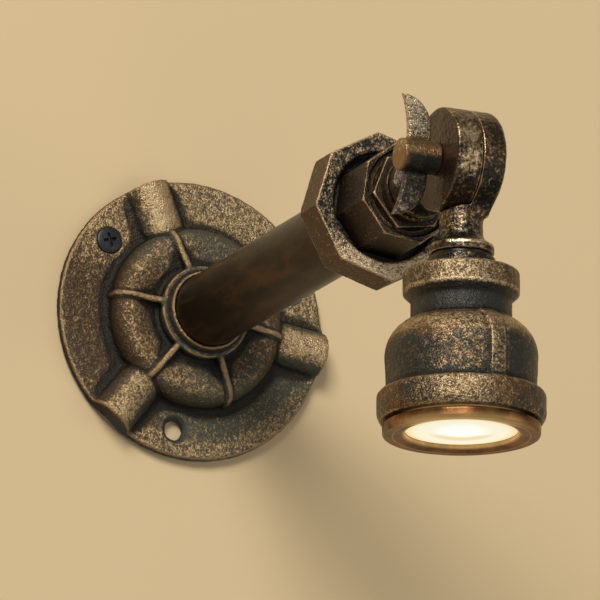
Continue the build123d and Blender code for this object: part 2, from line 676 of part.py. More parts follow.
def heat_sink():
    """Aluminium core with radial fins, clamped on the housing's ledge."""
    core = rod(SINK_CORE_R, DRIVER_BASE, LEDGE) + rod(SKIRT_R, LEDGE, BOARD_TOP)
    fin = Pos(SINK_CORE_R / 2, 0, DRIVER_BASE) * Box(
        FIN_R - SINK_CORE_R / 2, FIN_T, FIN_HEIGHT, align=(Align.MIN, Align.CENTER, Align.MIN),
    )
    for place in round_pattern(FIN_COUNT, 0, 0):
        core += place * fin
    return DOWN * (core - board_screw_bars(BOARD_SCREW_R, BOARD_TOP - BOARD_SCREW_GRIP, BOARD_TOP))


def board_screw_bars(radius, start, end):
    """Round bars where the board's screws stand."""
    places = round_pattern(BOARD_SCREWS, 90, BOARD_SCREW_CIRCLE_R)
    return Compound(children=[place * rod(radius, start, end) for place in places])


def led_board():
    """Round metal-core board under the heat sink."""
    board = rod(BOARD_R, BOARD_TOP, BOARD_FACE)
    return DOWN * (board - board_screw_bars(BOARD_SCREW_R + FIT, BOARD_TOP, BOARD_FACE))


def board_screws():
    """Three small screws that hold the board on the heat sink."""
    shanks = board_screw_bars(BOARD_SCREW_R, BOARD_TOP - BOARD_SCREW_GRIP, BOARD_FACE)
    heads = board_screw_bars(BOARD_SCREW_HEAD_R, BOARD_FACE, BOARD_FACE + BOARD_SCREW_HEAD_T)
    screws = [shank + head for shank, head in zip(shanks.children, heads.children)]
    return DOWN * Compound(children=screws)


def led_emitter():
    """Square chip carrier with its round light-giving face."""
    upright = (Align.CENTER, Align.CENTER, Align.MIN)
    chip = Pos(0, 0, BOARD_FACE) * Box(CHIP_SIDE, CHIP_SIDE, CHIP_T, align=upright)
    return DOWN * (chip + rod(EMITTER_R, BOARD_FACE + CHIP_T, BOARD_FACE + CHIP_T + EMITTER_T))


def reflector():
    """Polished cone with an outer wall that stands between the heat sink and the lens."""
    small_end = BOARD_FACE + CHIP_T
    wide_r = HOLDER_R - HOLDER_WALL
    return DOWN * turned(
        (HOLDER_R, BOARD_TOP), (HOLDER_R, LENS_TOP), (wide_r - REFLECTOR_WALL, LENS_TOP),
        (REFLECTOR_SMALL_R, small_end), (REFLECTOR_SMALL_R + REFLECTOR_WALL, small_end),
        (wide_r, LENS_TOP - 2 * REFLECTOR_WALL), (wide_r, BOARD_TOP),
    )


def driver_capsule():
    """Potted driver that stands on the heat sink."""
    return DOWN * turned(
        (0, DRIVER_TOP), (DRIVER_R, DRIVER_TOP, DRIVER_ROUND),
        (DRIVER_R, DRIVER_BASE, DRIVER_FOOT_ROUND), (0, DRIVER_BASE),
    )


def lens():
    """Diffusing lens with a crowned middle that fills the trim ring's window."""
    crown_r = WINDOW_R - FIT
    sphere_r = (crown_r ** 2 + LENS_CROWN ** 2) / (2 * LENS_CROWN)
    plate = rod(HOLDER_R, LENS_TOP, LENS_SEAT) + rod(crown_r, LENS_SEAT, LIP_TOP + LENS_CROWN)
    crown = Pos(0, 0, LIP_TOP + LENS_CROWN - sphere_r) * Sphere(sphere_r)
    return DOWN * (plate & crown)


def lens_gasket():
    """Flat ring between the lens and the trim ring's lip."""
    return DOWN * tube(HOLDER_R, WINDOW_R, LENS_SEAT, LIP_TOP)


def trim_ring():
    """Screwed ring that holds the lens stack in the housing's mouth."""
    skirt_top = HOUSING_END - TRIM_SKIRT_HEIGHT
    return DOWN * turned(
        (SKIRT_IN_R, skirt_top), (SKIRT_R, skirt_top), (SKIRT_R, HOUSING_END), (TRIM_SEAT_R, HOUSING_END),
        (TRIM_SEAT_R, TRIM_TOP), (TRIM_R, TRIM_TOP, TRIM_TOP_ROUND), (TRIM_R, TRIM_END, TRIM_ROUND),
        (SKIRT_R, TRIM_END), (WINDOW_R, LIP_TOP + TRIM_LIP_T), (WINDOW_R, LIP_TOP), (SKIRT_IN_R, LIP_TOP),
    )


# ---------------------------------------------------------------- leads

def supply_lead():
    """Sheathed lead inside the pipe and the arm, from the flange to the knuckle."""
    return OUT * rod(LEAD_R, LEAD_START_OUT, PIVOT_OUT - LEAD_END_REACH)


def lamp_lead():
    """Sheathed lead from the knuckle to the driver."""
    return DOWN * rod(LEAD_R, LEAD_END_REACH, DRIVER_TOP)


PIECES = {
    "wall_flange": wall_flange,
    "supply_pipe": supply_pipe,
    "union_thread_end": union_thread_end,
    "union_washer": union_washer,
    "union_nut": union_nut,
    "union_tail_end": union_tail_end,
    "arm_bush": arm_bush,
    "arm_lock_ring": lambda: BACK * lock_ring(),
    "arm_spring_washer": lambda: BACK * spring_washer(),
    "arm_knuckle": arm_knuckle,
    "stop_pin": stop_pin,
    "wing_screw": wing_screw,
    "lamp_knuckle": lamp_knuckle,
    "lamp_spring_washer": lambda: DOWN * spring_washer(),
    "lamp_lock_ring": lambda: DOWN * lock_ring(),
    "lamp_top_bush": lamp_top_bush,
    "lamp_housing": lamp_housing,
    "driver_capsule": driver_capsule,
    "heat_sink": heat_sink,
    "led_board": led_board,
    "board_screws": board_screws,
    "led_emitter": led_emitter,
    "reflector": reflector,
    "lens": lens,
    "lens_gasket": lens_gasket,
    "trim_ring": trim_ring,
    "supply_lead": supply_lead,
    "lamp_lead": lamp_lead,
}


def main():
    """Write one STEP file for each piece."""
    os.makedirs("parts", exist_ok=True)
    for name, make in PIECES.items():
        export_step(make(), os.path.join("parts", f"{name}.step"))


if __name__ == "__main__":
    main()
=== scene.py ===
import logging
import math
from dataclasses import dataclass, field
from enum import Enum
from typing import Any, Sequence

import bmesh
import bpy
import numpy as np
from mathutils import Matrix, Vector


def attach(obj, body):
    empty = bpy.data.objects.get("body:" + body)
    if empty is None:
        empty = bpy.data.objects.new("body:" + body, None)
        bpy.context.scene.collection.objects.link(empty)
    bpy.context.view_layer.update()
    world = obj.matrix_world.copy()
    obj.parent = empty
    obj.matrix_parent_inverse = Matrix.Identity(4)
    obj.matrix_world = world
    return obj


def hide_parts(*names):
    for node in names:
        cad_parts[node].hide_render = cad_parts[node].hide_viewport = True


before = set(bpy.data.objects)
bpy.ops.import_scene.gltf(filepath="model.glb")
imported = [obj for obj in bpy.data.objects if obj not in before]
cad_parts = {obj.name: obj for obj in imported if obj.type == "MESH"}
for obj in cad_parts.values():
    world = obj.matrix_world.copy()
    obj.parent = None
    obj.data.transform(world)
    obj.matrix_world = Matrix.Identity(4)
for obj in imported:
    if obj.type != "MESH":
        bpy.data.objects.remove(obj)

# Looks of the industrial pipe wall light. Lengths are in metres, in the frame of the solids:
# the wall is the plane y = 0, the light stands out along -Y, and +Z is up.

LOG = logging.getLogger("pipe_wall_light")
MM = 0.001
OPEN = 1000.0  # where a zone has no end, in millimetres
Triple = tuple[float, float, float]
Colour = Triple


class Operation(Enum):
    """Maths that a Quantity can do."""
    ADD = "ADD"
    SUBTRACT = "SUBTRACT"
    MULTIPLY = "MULTIPLY"
    DIVIDE = "DIVIDE"
    POWER = "POWER"
    HIGHER = "MAXIMUM"
    ANGLE = "ARCTAN2"
    TO_AND_FRO = "PINGPONG"


class Grain(Enum):
    """How a surface's fine marks are pulled out along one axis."""
    LENGTHWISE = (1.0, 0.3, 1.0)
    TURNED = (1.0, 1.0, 4.0)


class Quantity:
    """A number that varies over a surface: one output socket with arithmetic on it."""

    def __init__(self, tree: "NodeTree", socket: bpy.types.NodeSocket) -> None:
        """Wrap one output socket of a tree."""
        self.tree = tree
        self.socket = socket

    def _maths(self, operation: Operation, left: Any, right: Any, clamp: bool = False) -> "Quantity":
        """Add one Math node.

        Args:
            operation: what the node does.
            left: first value or link.
            right: second value or link.
            clamp: whether the result is kept between 0 and 1.

        Returns:
            The node's result.
        """
        settings = {"operation": operation.value, "use_clamp": clamp}
        return self.tree.node("ShaderNodeMath", settings, {0: left, 1: right}).out("Value")

    def __add__(self, other: Any) -> "Quantity":
        """Sum."""
        return self._maths(Operation.ADD, self, other)

    __radd__ = __add__

    def __sub__(self, other: Any) -> "Quantity":
        """Difference."""
        return self._maths(Operation.SUBTRACT, self, other)

    def __rsub__(self, other: Any) -> "Quantity":
        """Difference from a plain number."""
        return self._maths(Operation.SUBTRACT, other, self)

    def __mul__(self, other: Any) -> "Quantity":
        """Product."""
        return self._maths(Operation.MULTIPLY, self, other)

    __rmul__ = __mul__

    def __truediv__(self, other: Any) -> "Quantity":
        """Quotient."""
        return self._maths(Operation.DIVIDE, self, other)

    def __rtruediv__(self, other: Any) -> "Quantity":
        """Quotient of a plain number by this."""
        return self._maths(Operation.DIVIDE, other, self)

    def __pow__(self, other: Any) -> "Quantity":
        """Power."""
        return self._maths(Operation.POWER, self, other)

    def higher(self, other: Any) -> "Quantity":
        """The larger of two."""
        return self._maths(Operation.HIGHER, self, other)

    def angle_from(self, other: Any) -> "Quantity":
        """The angle, in radians, of the point (other, self)."""
        return self._maths(Operation.ANGLE, self, other)

    def to_and_fro(self, top: Any) -> "Quantity":
        """The same, folded to run from 0 up to top and back again."""
        return self._maths(Operation.TO_AND_FRO, self, top)

    def held(self) -> "Quantity":
        """The same, kept between 0 and 1."""
        return self._maths(Operation.ADD, self, 0.0, clamp=True)

    def step(self, low: float, high: float) -> "Quantity":
        """Soft step from 0 at low to 1 at high."""
        settings = {"interpolation_type": "SMOOTHSTEP"}
        sockets = {"Value": self, "From Min": low, "From Max": high}
        return self.tree.node("ShaderNodeMapRange", settings, sockets).out("Result")


class Placed:
    """A node that has been added to a tree."""

    def __init__(self, tree: "NodeTree", made: bpy.types.Node) -> None:
        """Keep the node with its tree."""
        self.tree = tree
        self.made = made

    def out(self, key: str | int = 0) -> Quantity:
        """One output of the node, by name or place."""
        return Quantity(self.tree, self.made.outputs[key])


class NodeTree:
    """Adds nodes to a material's or a modifier's tree."""

    def __init__(self, tree: bpy.types.NodeTree) -> None:
        """Start on an existing tree."""
        self.tree = tree

    def node(self, kind: str, settings: dict[str, Any] | None = None,
             sockets: dict[str | int, Any] | None = None) -> Placed:
        """Add one node.

        Args:
            kind: the node's type.
            settings: its properties, set before its sockets.
            sockets: the values or links of its inputs, by name or place.

        Returns:
            The placed node.
        """
        made = self.tree.nodes.new(kind)
        for key, value in (settings or {}).items():
            setattr(made, key, value)
        for key, value in (sockets or {}).items():
            self.feed(made.inputs[key], value)
        return Placed(self, made)

    def feed(self, socket: bpy.types.NodeSocket, value: Any) -> None:
        """Link an input, or set it to a plain value."""
        if isinstance(value, Quantity):
            self.tree.links.new(value.socket, socket)
        elif isinstance(value, tuple) and len(value) == 3 and socket.type == "RGBA":
            socket.default_value = (*value, 1.0)
        else:
            socket.default_value = value

    def mix(self, share: Any, first: Any, second: Any) -> Quantity:
        """The first colour with a share of the second mixed in."""
        settings = {"data_type": "RGBA", "blend_type": "MIX", "clamp_factor": True}
        return self.node("ShaderNodeMix", settings, {0: share, 6: first, 7: second}).out(2)

    def vector(self, operation: str, output: str, *values: Any) -> Quantity:
        """One output of a Vector Math node."""
        sockets = dict(enumerate(values))
        return self.node("ShaderNodeVectorMath", {"operation": operation}, sockets).out(output)

    def scaled(self, vector: Any, factor: Any) -> Quantity:
        """A vector times a number."""
        sockets = {0: vector, "Scale": factor}
        return self.node("ShaderNodeVectorMath", {"operation": "SCALE"}, sockets).out("Vector")

    def place(self, stretch: Triple = (1.0, 1.0, 1.0), move: Triple = (0.0, 0.0, 0.0)) -> Quantity:
        """Object coordinates, stretched and moved."""
        coordinates = self.node("ShaderNodeTexCoord").out("Object")
        sockets = {"Vector": coordinates, "Scale": stretch, "Location": move}
        return self.node("ShaderNodeMapping", {"vector_type": "POINT"}, sockets).out("Vector")

    def noise(self, place: Any, size: float, detail: float = 2.0, roughness: float = 0.5) -> Quantity:
        """Noise whose features are about size metres wide, around 0.5."""
        sockets = {"Vector": place, "Scale": 1.0 / size, "Detail": detail, "Roughness": roughness}
        return self.node("ShaderNodeTexNoise", {"noise_dimensions": "3D"}, sockets).out(0)

    def attribute(self, name: str) -> Quantity:
        """A number stored at the mesh's points."""
        return self.node("ShaderNodeAttribute", {"attribute_name": name}).out("Fac")


class MaterialTree(NodeTree):
    """A new material with one Principled shader."""

    def __init__(self, name: str) -> None:
        """Make an empty material."""
        self.material = bpy.data.materials.new(name)
        self.material.use_nodes = True
        super().__init__(self.material.node_tree)
        self.tree.nodes.clear()

    def finish(self, sockets: dict[str, Any]) -> bpy.types.Material:
        """Add the Principled shader with these inputs, and the output.

        Args:
            sockets: values or links of the shader's inputs.

        Returns:
            The material.
        """
        shader = self.node("ShaderNodeBsdfPrincipled", {}, sockets).out("BSDF")
        self.node("ShaderNodeOutputMaterial", {}, {"Surface": shader})
        return self.material

    def bump(self, height: Any, depth: float, strength: float) -> Quantity:
        """A normal from a height between 0 and 1."""
        sockets = {"Height": height, "Distance": depth, "Strength": strength}
        return self.node("ShaderNodeBump", {}, sockets).out("Normal")


# ---- finishes

@dataclass(frozen=True)
class Zone:
    """A stretch along one direction with soft ends, in millimetres, and how much it adds there."""
    direction: Triple
    start: float = 0.0
    end: float = 0.0
    fade: float = 0.0
    amount: float = 1.0

    def along(self, tree: NodeTree, place: Quantity) -> Quantity:
        """How far a place lies along the direction."""
        return tree.vector("DOT_PRODUCT", "Value", place, self.direction)

    def weight(self, tree: NodeTree, place: Quantity) -> Quantity:
        """The zone's amount inside the stretch, and nothing outside."""
        along = self.along(tree, place)
        begun = along.step((self.start - self.fade) * MM, (self.start + self.fade) * MM)
        over = along.step((self.end - self.fade) * MM, (self.end + self.fade) * MM)
        return (begun - over) * self.amount


@dataclass(frozen=True)
class RoundZone(Zone):
    """A ring round an axis along the direction: start and end are radii, all in millimetres."""
    centre: Triple = (0.0, 0.0, 0.0)

    def along(self, tree: NodeTree, place: Quantity) -> Quantity:
        """How far a place lies from the axis."""
        flat = tuple(1.0 - abs(value) for value in self.direction)
        centre = tuple(value * MM for value in self.centre)
        from_centre = tree.vector("SUBTRACT", "Vector", place, centre)
        return tree.vector("LENGTH", "Value", tree.vector("MULTIPLY", "Vector", from_centre, flat))


OUT = (0.0, -1.0, 0.0)
DOWN = (0.0, 0.0, -1.0)
UP = (0.0, 0.0, 1.0)
LEFT = (-1.0, 0.0, 0.0)
NEAR_SIDE = (-0.42, -0.91, 0.0)
FAR_SIDE = (0.42, 0.91, 0.0)
LAMP_AXIS = (0.0, -179.3, 0.0)
WINDOW_RADIUS = 15.1 * MM
PLATE_ZONE = RoundZone(OUT, 27.5, OPEN, 1.5)
ACROSS_LAMP = (0.906, -0.423, 0.0)
LAMP_MIDDLE = 75.8
# The strip of the lamp that faces the viewer; metal added here is a painted highlight.
LIT_FRONT_OF_LAMP = Zone(ACROSS_LAMP, LAMP_MIDDLE - 10.0, LAMP_MIDDLE + 9.0, 6.0)
# Specks on the front of the bell beside the rib, thicker there as painted glints.
SPECKS_AND_GLINTS_BESIDE_RIB = Zone(ACROSS_LAMP, LAMP_MIDDLE - 8.0, LAMP_MIDDLE + 7.6, 2.0)
RIB_OF_LAMP = Zone(ACROSS_LAMP, LAMP_MIDDLE + 8.3, LAMP_MIDDLE + 12.4, 0.4)


@dataclass(frozen=True)
class Patch:
    """Where several zones overlap, and how much is added there."""
    zones: tuple[Zone, ...]
    amount: float

    def weight(self, tree: NodeTree, place: Quantity) -> Quantity:
        """The patch's amount where all its zones overlap."""
        weight = self.zones[0].weight(tree, place) * self.amount
        for zone in self.zones[1:]:
            weight = weight * zone.weight(tree, place)
        return weight


@dataclass(frozen=True)
class AntiqueBronze:
    """Dark bronze paint on a casting, with metal brushed on its grains, crests and edges; zones add or take
    away metal, some as wear and some as painted light and painted shade.
    """
    name: str
    pit: Colour = (0.006, 0.006, 0.005)
    dark: Colour = (0.030, 0.034, 0.031)
    warm: Colour = (0.075, 0.042, 0.021)
    gold: Colour = (0.260, 0.175, 0.088)
    tip: Colour = (0.600, 0.480, 0.310)
    line: Colour = (0.480, 0.330, 0.180)
    fine: float = 0.55 * MM
    fine_share: float = 0.68
    coarse: float = 1.5 * MM
    blotch: float = 9.0 * MM
    brush_and_light: float = 0.30
    crest_gain: float = 0.50
    patch_gain: float = 0.45
    contrast: float = 1.25
    flank_wear_and_shade: float = 0.0
    flank_from: float = 0.64
    line_from: float = 0.36
    line_share: float = 0.90
    dust_and_sheen_span: tuple[float, float] = (0.20, 0.85)
    dust_and_sheen_share: float = 0.85
    tip_span: tuple[float, float] = (0.60, 1.15)
    hollow_share: float = 0.85
    hollow_to: float = 0.45
    tip_share: float = 0.80
    roughness: float = 0.46
    brushed_roughness: float = 0.34
    metal: float = 0.45
    brushed_metal: float = 0.35
    bump_depth: float = 0.20 * MM
    bump: float = 0.80
    zones: tuple[Zone | Patch, ...] = ()
    warm_zones: tuple[Zone | Patch, ...] = ()

    def material(self) -> bpy.types.Material:
        """Build the material."""
        tree = MaterialTree(self.name)
        place = tree.place()
        grains = (tree.noise(place, self.fine, 3.0, 0.60) * self.fine_share
                  + tree.noise(place, self.coarse, 2.0, 0.55) * (1.0 - self.fine_share))
        grains = ((grains - 0.5) * 3.0 + 0.5).held()
        patch = tree.noise(place, self.blotch, 3.0, 0.55) - 0.5
        tone = tree.noise(tree.place(move=(0.3, 0.1, 0.7)), self.blotch * 2.4, 2.0, 0.5) - 0.5
        edge = tree.attribute("edge")
        crest = tree.attribute("crest")

        # Flanks that turn away from the front lose metal: partly dry-brush wear, partly painted shade.
        flank = 1.0 - tree.attribute("facing").step(self.flank_from, self.flank_from + 0.32)
        brush_and_light = crest * self.crest_gain + patch * self.patch_gain - flank * self.flank_wear_and_shade + self.brush_and_light
        # Zones add or take away metal: some are wear, some are painted light and painted shade.
        for zone in self.zones:
            brush_and_light = brush_and_light + zone.weight(tree, place)
        above = (grains - 0.5) * self.contrast + brush_and_light
        dust_and_sheen = above.step(*self.dust_and_sheen_span)
        tips = above.step(*self.tip_span)
        line = (edge + (grains - 0.5) * 0.22 + patch * 0.3).step(self.line_from, self.line_from + 0.26)
        hollow = (0.0 - crest).step(0.04, self.hollow_to).higher((0.0 - edge).step(0.05, 0.45))

        warmth = (tone + patch * 0.6).step(-0.06, 0.16)
        for zone in self.warm_zones:
            warmth = warmth + zone.weight(tree, place)
        colour = tree.mix(warmth.held(), self.dark, self.warm)
        colour = tree.mix(dust_and_sheen * self.dust_and_sheen_share, colour, self.gold)
        colour = tree.mix(tips * self.tip_share, colour, self.tip)
        colour = tree.mix(line * self.line_share, colour, self.line)
        colour = tree.mix(hollow * self.hollow_share * (1.0 - line), colour, self.pit)
        bare = dust_and_sheen.higher(line)
        return tree.finish({
            "Base Color": colour,
            "Metallic": bare * self.brushed_metal + self.metal,
            "Roughness": (grains - 0.5) * 0.12 + self.roughness
            - bare * (self.roughness - self.brushed_roughness),
            "Normal": tree.bump(grains, self.bump_depth, self.bump),
        })


@dataclass(frozen=True)
class DarkPipe:
    """Dark brown bronze on drawn pipe, with soft warm clouds."""
    name: str
    dark: Colour = (0.010, 0.007, 0.004)
    warm: Colour = (0.072, 0.031, 0.012)
    roughness: float = 0.36

    def material(self) -> bpy.types.Material:
        """Build the material."""
        tree = MaterialTree(self.name)
        drawn = tree.place(stretch=Grain.LENGTHWISE.value)
        cloud = tree.noise(drawn, 6.5 * MM, 3.0, 0.6)
        fine = tree.noise(drawn, 0.7 * MM, 3.0, 0.6)
        warmth = (cloud + (fine - 0.5) * 0.35).step(0.40, 0.74)
        return tree.finish({
            "Base Color": tree.mix(warmth, self.dark, self.warm),
            "Metallic": 0.7,
            "Roughness": (fine - 0.5) * 0.2 + self.roughness,
            "Normal": tree.bump(fine * 0.5 + cloud, 0.12 * MM, 0.5),
        })


@dataclass(frozen=True)
class SatinMetal:
    """Turned or rolled metal with fine marks."""
    name: str
    colour: Colour
    shade: Colour
    roughness: float = 0.35
    metal: float = 0.9
    marks: float = 0.5 * MM

    def material(self) -> bpy.types.Material:
        """Build the material."""
        tree = MaterialTree(self.name)
        marks = tree.noise(tree.place(), self.marks, 3.0, 0.6)
        cloud = tree.noise(tree.place(), 5.0 * MM, 2.0)
        return tree.finish({
            "Base Color": tree.mix((marks * 0.6 + cloud * 0.6).step(0.42, 0.78), self.colour, self.shade),
            "Metallic": self.metal,
            "Roughness": (marks - 0.5) * 0.2 + self.roughness,
            "Normal": tree.bump(marks, 0.03 * MM, 0.4),
        })


@dataclass(frozen=True)
class CopperRing:
    """Copper-brown satin ring, turned, with lighter edges and a painted glow of the lens's light on its
    inner lip, near side and foot.
    """
    name: str
    dark: Colour = (0.075, 0.031, 0.011)
    copper: Colour = (0.235, 0.098, 0.032)
    line: Colour = (0.620, 0.380, 0.180)
    # The glow is painted light: emission on the ring, which is no lamp, stands in for the lens's light
    # falling on it.
    glow: Colour = (1.0, 0.66, 0.24)
    power: float = 0.75
    start: float = WINDOW_RADIUS - 0.3 * MM
    lip_end: float = WINDOW_RADIUS + 1.7 * MM
    spill_end: float = WINDOW_RADIUS + 6.2 * MM
    lip_gain: float = 0.40
    spill_gain: float = 1.15
    groove: RoundZone = RoundZone(DOWN, 18.2, 18.5, 0.15, 0.6, LAMP_AXIS)
    near: Zone = Zone(NEAR_SIDE, 177.0, OPEN, 6.0)
    foot: Zone = Zone(DOWN, 74.6, OPEN, 1.3, 0.30)

    def material(self) -> bpy.types.Material:
        """Build the material."""
        tree = MaterialTree(self.name)
        place = tree.place()
        cloud = tree.noise(place, 6.0 * MM, 3.0, 0.6)
        fine = tree.noise(tree.place(stretch=Grain.TURNED.value), 0.5 * MM, 3.0, 0.6)
        edge = tree.attribute("edge")
        colour = tree.mix((cloud + (fine - 0.5) * 0.4).step(0.36, 0.66), self.dark, self.copper)
        colour = tree.mix((edge + (cloud - 0.5) * 0.4).step(0.30, 0.60) * 0.8, colour, self.line)
        colour = tree.mix(self.groove.weight(tree, place), colour, self.line)
        # Painted glow: strongest at the inner lip, spilling further out on the near side and on the foot.
        radius = RoundZone(DOWN, centre=LAMP_AXIS).along(tree, place)
        lip = 1.0 - radius.step(self.start, self.lip_end)
        spill = 1.0 - radius.step(self.start, self.spill_end)
        near = (spill * self.spill_gain).higher(self.foot.weight(tree, place))
        painted_glow = (lip ** 2.0 * self.lip_gain).higher(near * self.near.weight(tree, place))
        return tree.finish({
            "Base Color": colour, "Metallic": 0.85,
            "Roughness": (fine - 0.5) * 0.2 + 0.33,
            "Emission Color": tree.mix(painted_glow, (0.0, 0.0, 0.0), self.glow), "Emission Strength": self.power,
            "Normal": tree.bump(fine, 0.04 * MM, 0.5),
        })


@dataclass(frozen=True)
class LitGlass:
    """Milky glass with the light behind it: white in the middle, amber towards the rim."""
    name: str
    centre: Colour = (0.97, 0.93, 0.74)
    rim: Colour = (0.98, 0.72, 0.30)
    shade: Colour = (0.86, 0.66, 0.36)
    white: Colour = (1.12, 1.12, 1.05)
    spot_right: float = 0.084
    spot_near: float = 0.182
    arc_radius: float = 0.44
    arc_sharpness: float = 4.4
    arc_share: float = 0.9
    power: float = 0.86

    def material(self) -> bpy.types.Material:
        """Build the material."""
        tree = MaterialTree(self.name)
        back = -LAMP_AXIS[1] * MM
        middle = tree.place(move=(0.0, back, 0.0))
        beside = (self.spot_right * WINDOW_RADIUS, back + self.spot_near * WINDOW_RADIUS, 0.0)
        ring = RoundZone(DOWN).along(tree, middle) * (1.0 / WINDOW_RADIUS)
        behind = Zone(FAR_SIDE).along(tree, middle) * (1.0 / WINDOW_RADIUS)
        spot = RoundZone(DOWN).along(tree, tree.place(move=beside)) * (1.0 / WINDOW_RADIUS)
        arc = 1.0 - ((spot - self.arc_radius) * self.arc_sharpness) ** 2.0
        crescent = arc.held() * (behind + 0.2).step(0.10, 0.38)
        glow = tree.mix(ring.step(0.75, 1.02), self.centre, self.rim)
        glow = tree.mix(1.0 - spot.step(0.20, 0.60), glow, self.white)
        glow = tree.mix(crescent * self.arc_share, glow, self.shade)
        return tree.finish({
            "Base Color": (0.10, 0.09, 0.07), "Roughness": 0.25, "Metallic": 0.0,
            "Emission Color": glow, "Emission Strength": self.power,
        })


@dataclass(frozen=True)
class PlainFinish:
    """Plastic, rubber, paint or resin with a fine grain."""
    name: str
    colour: Colour
    shade: Colour
    roughness: float = 0.6
    grain: float = 0.4 * MM

    def material(self) -> bpy.types.Material:
        """Build the material."""
        tree = MaterialTree(self.name)
        fine = tree.noise(tree.place(), self.grain, 3.0, 0.6)
        return tree.finish({
            "Base Color": tree.mix(fine.step(0.35, 0.65), self.colour, self.shade),
            "Metallic": 0.0,
            "Roughness": (fine - 0.5) * 0.15 + self.roughness,
            "Normal": tree.bump(fine, 0.03 * MM, 0.5),
        })


# ---- mesh work

class Skin:
    """Point arrays of a mesh, to smooth it and to measure its edges, crests and hollows."""

    def __init__(self, mesh: bpy.types.Mesh) -> None:
        """Read a mesh."""
        self.mesh = mesh
        self.count = len(mesh.vertices)
        self.points = np.empty(self.count * 3, np.float64)
        mesh.vertices.foreach_get("co", self.points)
        self.points = self.points.reshape(-1, 3)
        ends = np.empty(len(mesh.edges) * 2, np.int64)
        mesh.edges.foreach_get("vertices", ends)
        ends = ends.reshape(-1, 2)
        self.start = np.concatenate([ends[:, 0], ends[:, 1]])
        self.end = np.concatenate([ends[:, 1], ends[:, 0]])
        self.links = np.maximum(np.bincount(self.start, minlength=self.count), 1)

    def average(self, values: np.ndarray, rounds: int) -> np.ndarray:
        """Average each point's value with its neighbours', several times over."""
        columns = values.reshape(self.count, -1)
        for _ in range(rounds):
            total = [np.bincount(self.start, column[self.end], self.count) for column in columns.T]
            columns = 0.5 * columns + 0.5 * np.stack(total, 1) / self.links[:, None]
        return columns.reshape(values.shape)

    def soften(self, rounds: int) -> None:
        """Take the steps out of a remeshed surface and keep its size."""
        for _ in range(rounds):
            once = self.average(self.points, 1)
            back = self.average(once, 1)
            self.points = once + (once - back) * 1.04
        self.mesh.vertices.foreach_set("co", self.points.astype(np.float32).ravel())
        self.mesh.update()

    def measure(self, edge_rounds: int, crest_rounds: int, edge_size: float, crest_size: float,
                front: Triple) -> None:
        """Store how far each point stands proud of its surroundings, close by and further off.

        Args:
            edge_rounds: rounds of averaging for edges.
            crest_rounds: rounds of averaging for crests and hollows.
            edge_size: height that counts as 1 on an edge, in metres.
            crest_size: height that counts as 1 on a crest, in metres.
            front: direction of the casting's front, for how far each point faces it.
        """
        normals = np.empty(self.count * 3, np.float32)
        self.mesh.vertices.foreach_get("normal", normals)
        normals = normals.reshape(-1, 3)
        for name, rounds, size in (("edge", edge_rounds, edge_size), ("crest", crest_rounds, crest_size)):
            proud = ((self.points - self.average(self.points, rounds)) * normals).sum(1) / size
            layer = self.mesh.attributes.new(name, "FLOAT", "POINT")
            layer.data.foreach_set("value", np.clip(self.average(proud, 2), -1, 1).astype(np.float32))
        facing = self.average(normals @ np.array(front), 2)
        layer = self.mesh.attributes.new("facing", "FLOAT", "POINT")
        layer.data.foreach_set("value", facing.astype(np.float32))


class SurfaceTree(NodeTree):
    """Geometry nodes that move the points of a surface and give it its material."""
    title: str
    numbers: tuple[str, ...]

    def __init__(self) -> None:
        """Build the tree once."""
        group = bpy.data.node_groups.new(self.title, "GeometryNodeTree")
        super().__init__(group)
        face = group.interface
        face.new_socket("Geometry", in_out="INPUT", socket_type="NodeSocketGeometry")
        for name in self.numbers:
            face.new_socket(name, in_out="INPUT", socket_type="NodeSocketFloat")
        face.new_socket("Material", in_out="INPUT", socket_type="NodeSocketMaterial")
        face.new_socket("Geometry", in_out="OUTPUT", socket_type="NodeSocketGeometry")
        entry = self.node("NodeGroupInput")
        place = self.node("GeometryNodeInputPosition").out()
        offset = self.offset(place, *(entry.out(name) for name in self.numbers))
        sockets = {"Geometry": entry.out("Geometry"), "Offset": offset}
        moved = self.node("GeometryNodeSetPosition", {}, sockets).out()
        real = self.node("GeometryNodeRealizeInstances", {}, {"Geometry": moved}).out()
        sockets = {"Geometry": real, "Material": entry.out("Material")}
        dressed = self.node("GeometryNodeSetMaterial", {}, sockets).out()
        self.node("NodeGroupOutput", {}, {"Geometry": dressed})

    def offset(self, place: Quantity, *numbers: Quantity) -> Quantity:
        """How far each point moves, from its place and the tree's numbers."""
        raise NotImplementedError


class ReliefTree(SurfaceTree):
    """Presses a cast relief into a surface, along its normals."""
    title = "cast_relief"
    numbers = ("Depth", "Lump", "Grain", "Seed")

    def offset(self, place: Quantity, *numbers: Quantity) -> Quantity:
        """Lumps and grains, pressed in by up to the depth."""
        depth, lump, grain, seed = numbers
        lumps = self.noise_at(place, seed, lump, 1.0).step(0.30, 0.72)
        grains = self.noise_at(place, seed + 7.0, grain, 2.0).step(0.35, 0.75)
        press = 0.0 - (lumps * 0.65 + grains * 0.35) * depth
        return self.scaled(self.node("GeometryNodeInputNormal").out(), press)

    def noise_at(self, place: Quantity, seed: Quantity, size: Quantity, detail: float) -> Quantity:
        """Noise of one seed whose features are about size metres wide."""
        sockets = {"Vector": place, "W": seed, "Scale": 1.0 / size, "Detail": detail}
        return self.node("ShaderNodeTexNoise", {"noise_dimensions": "4D"}, sockets).out(0)


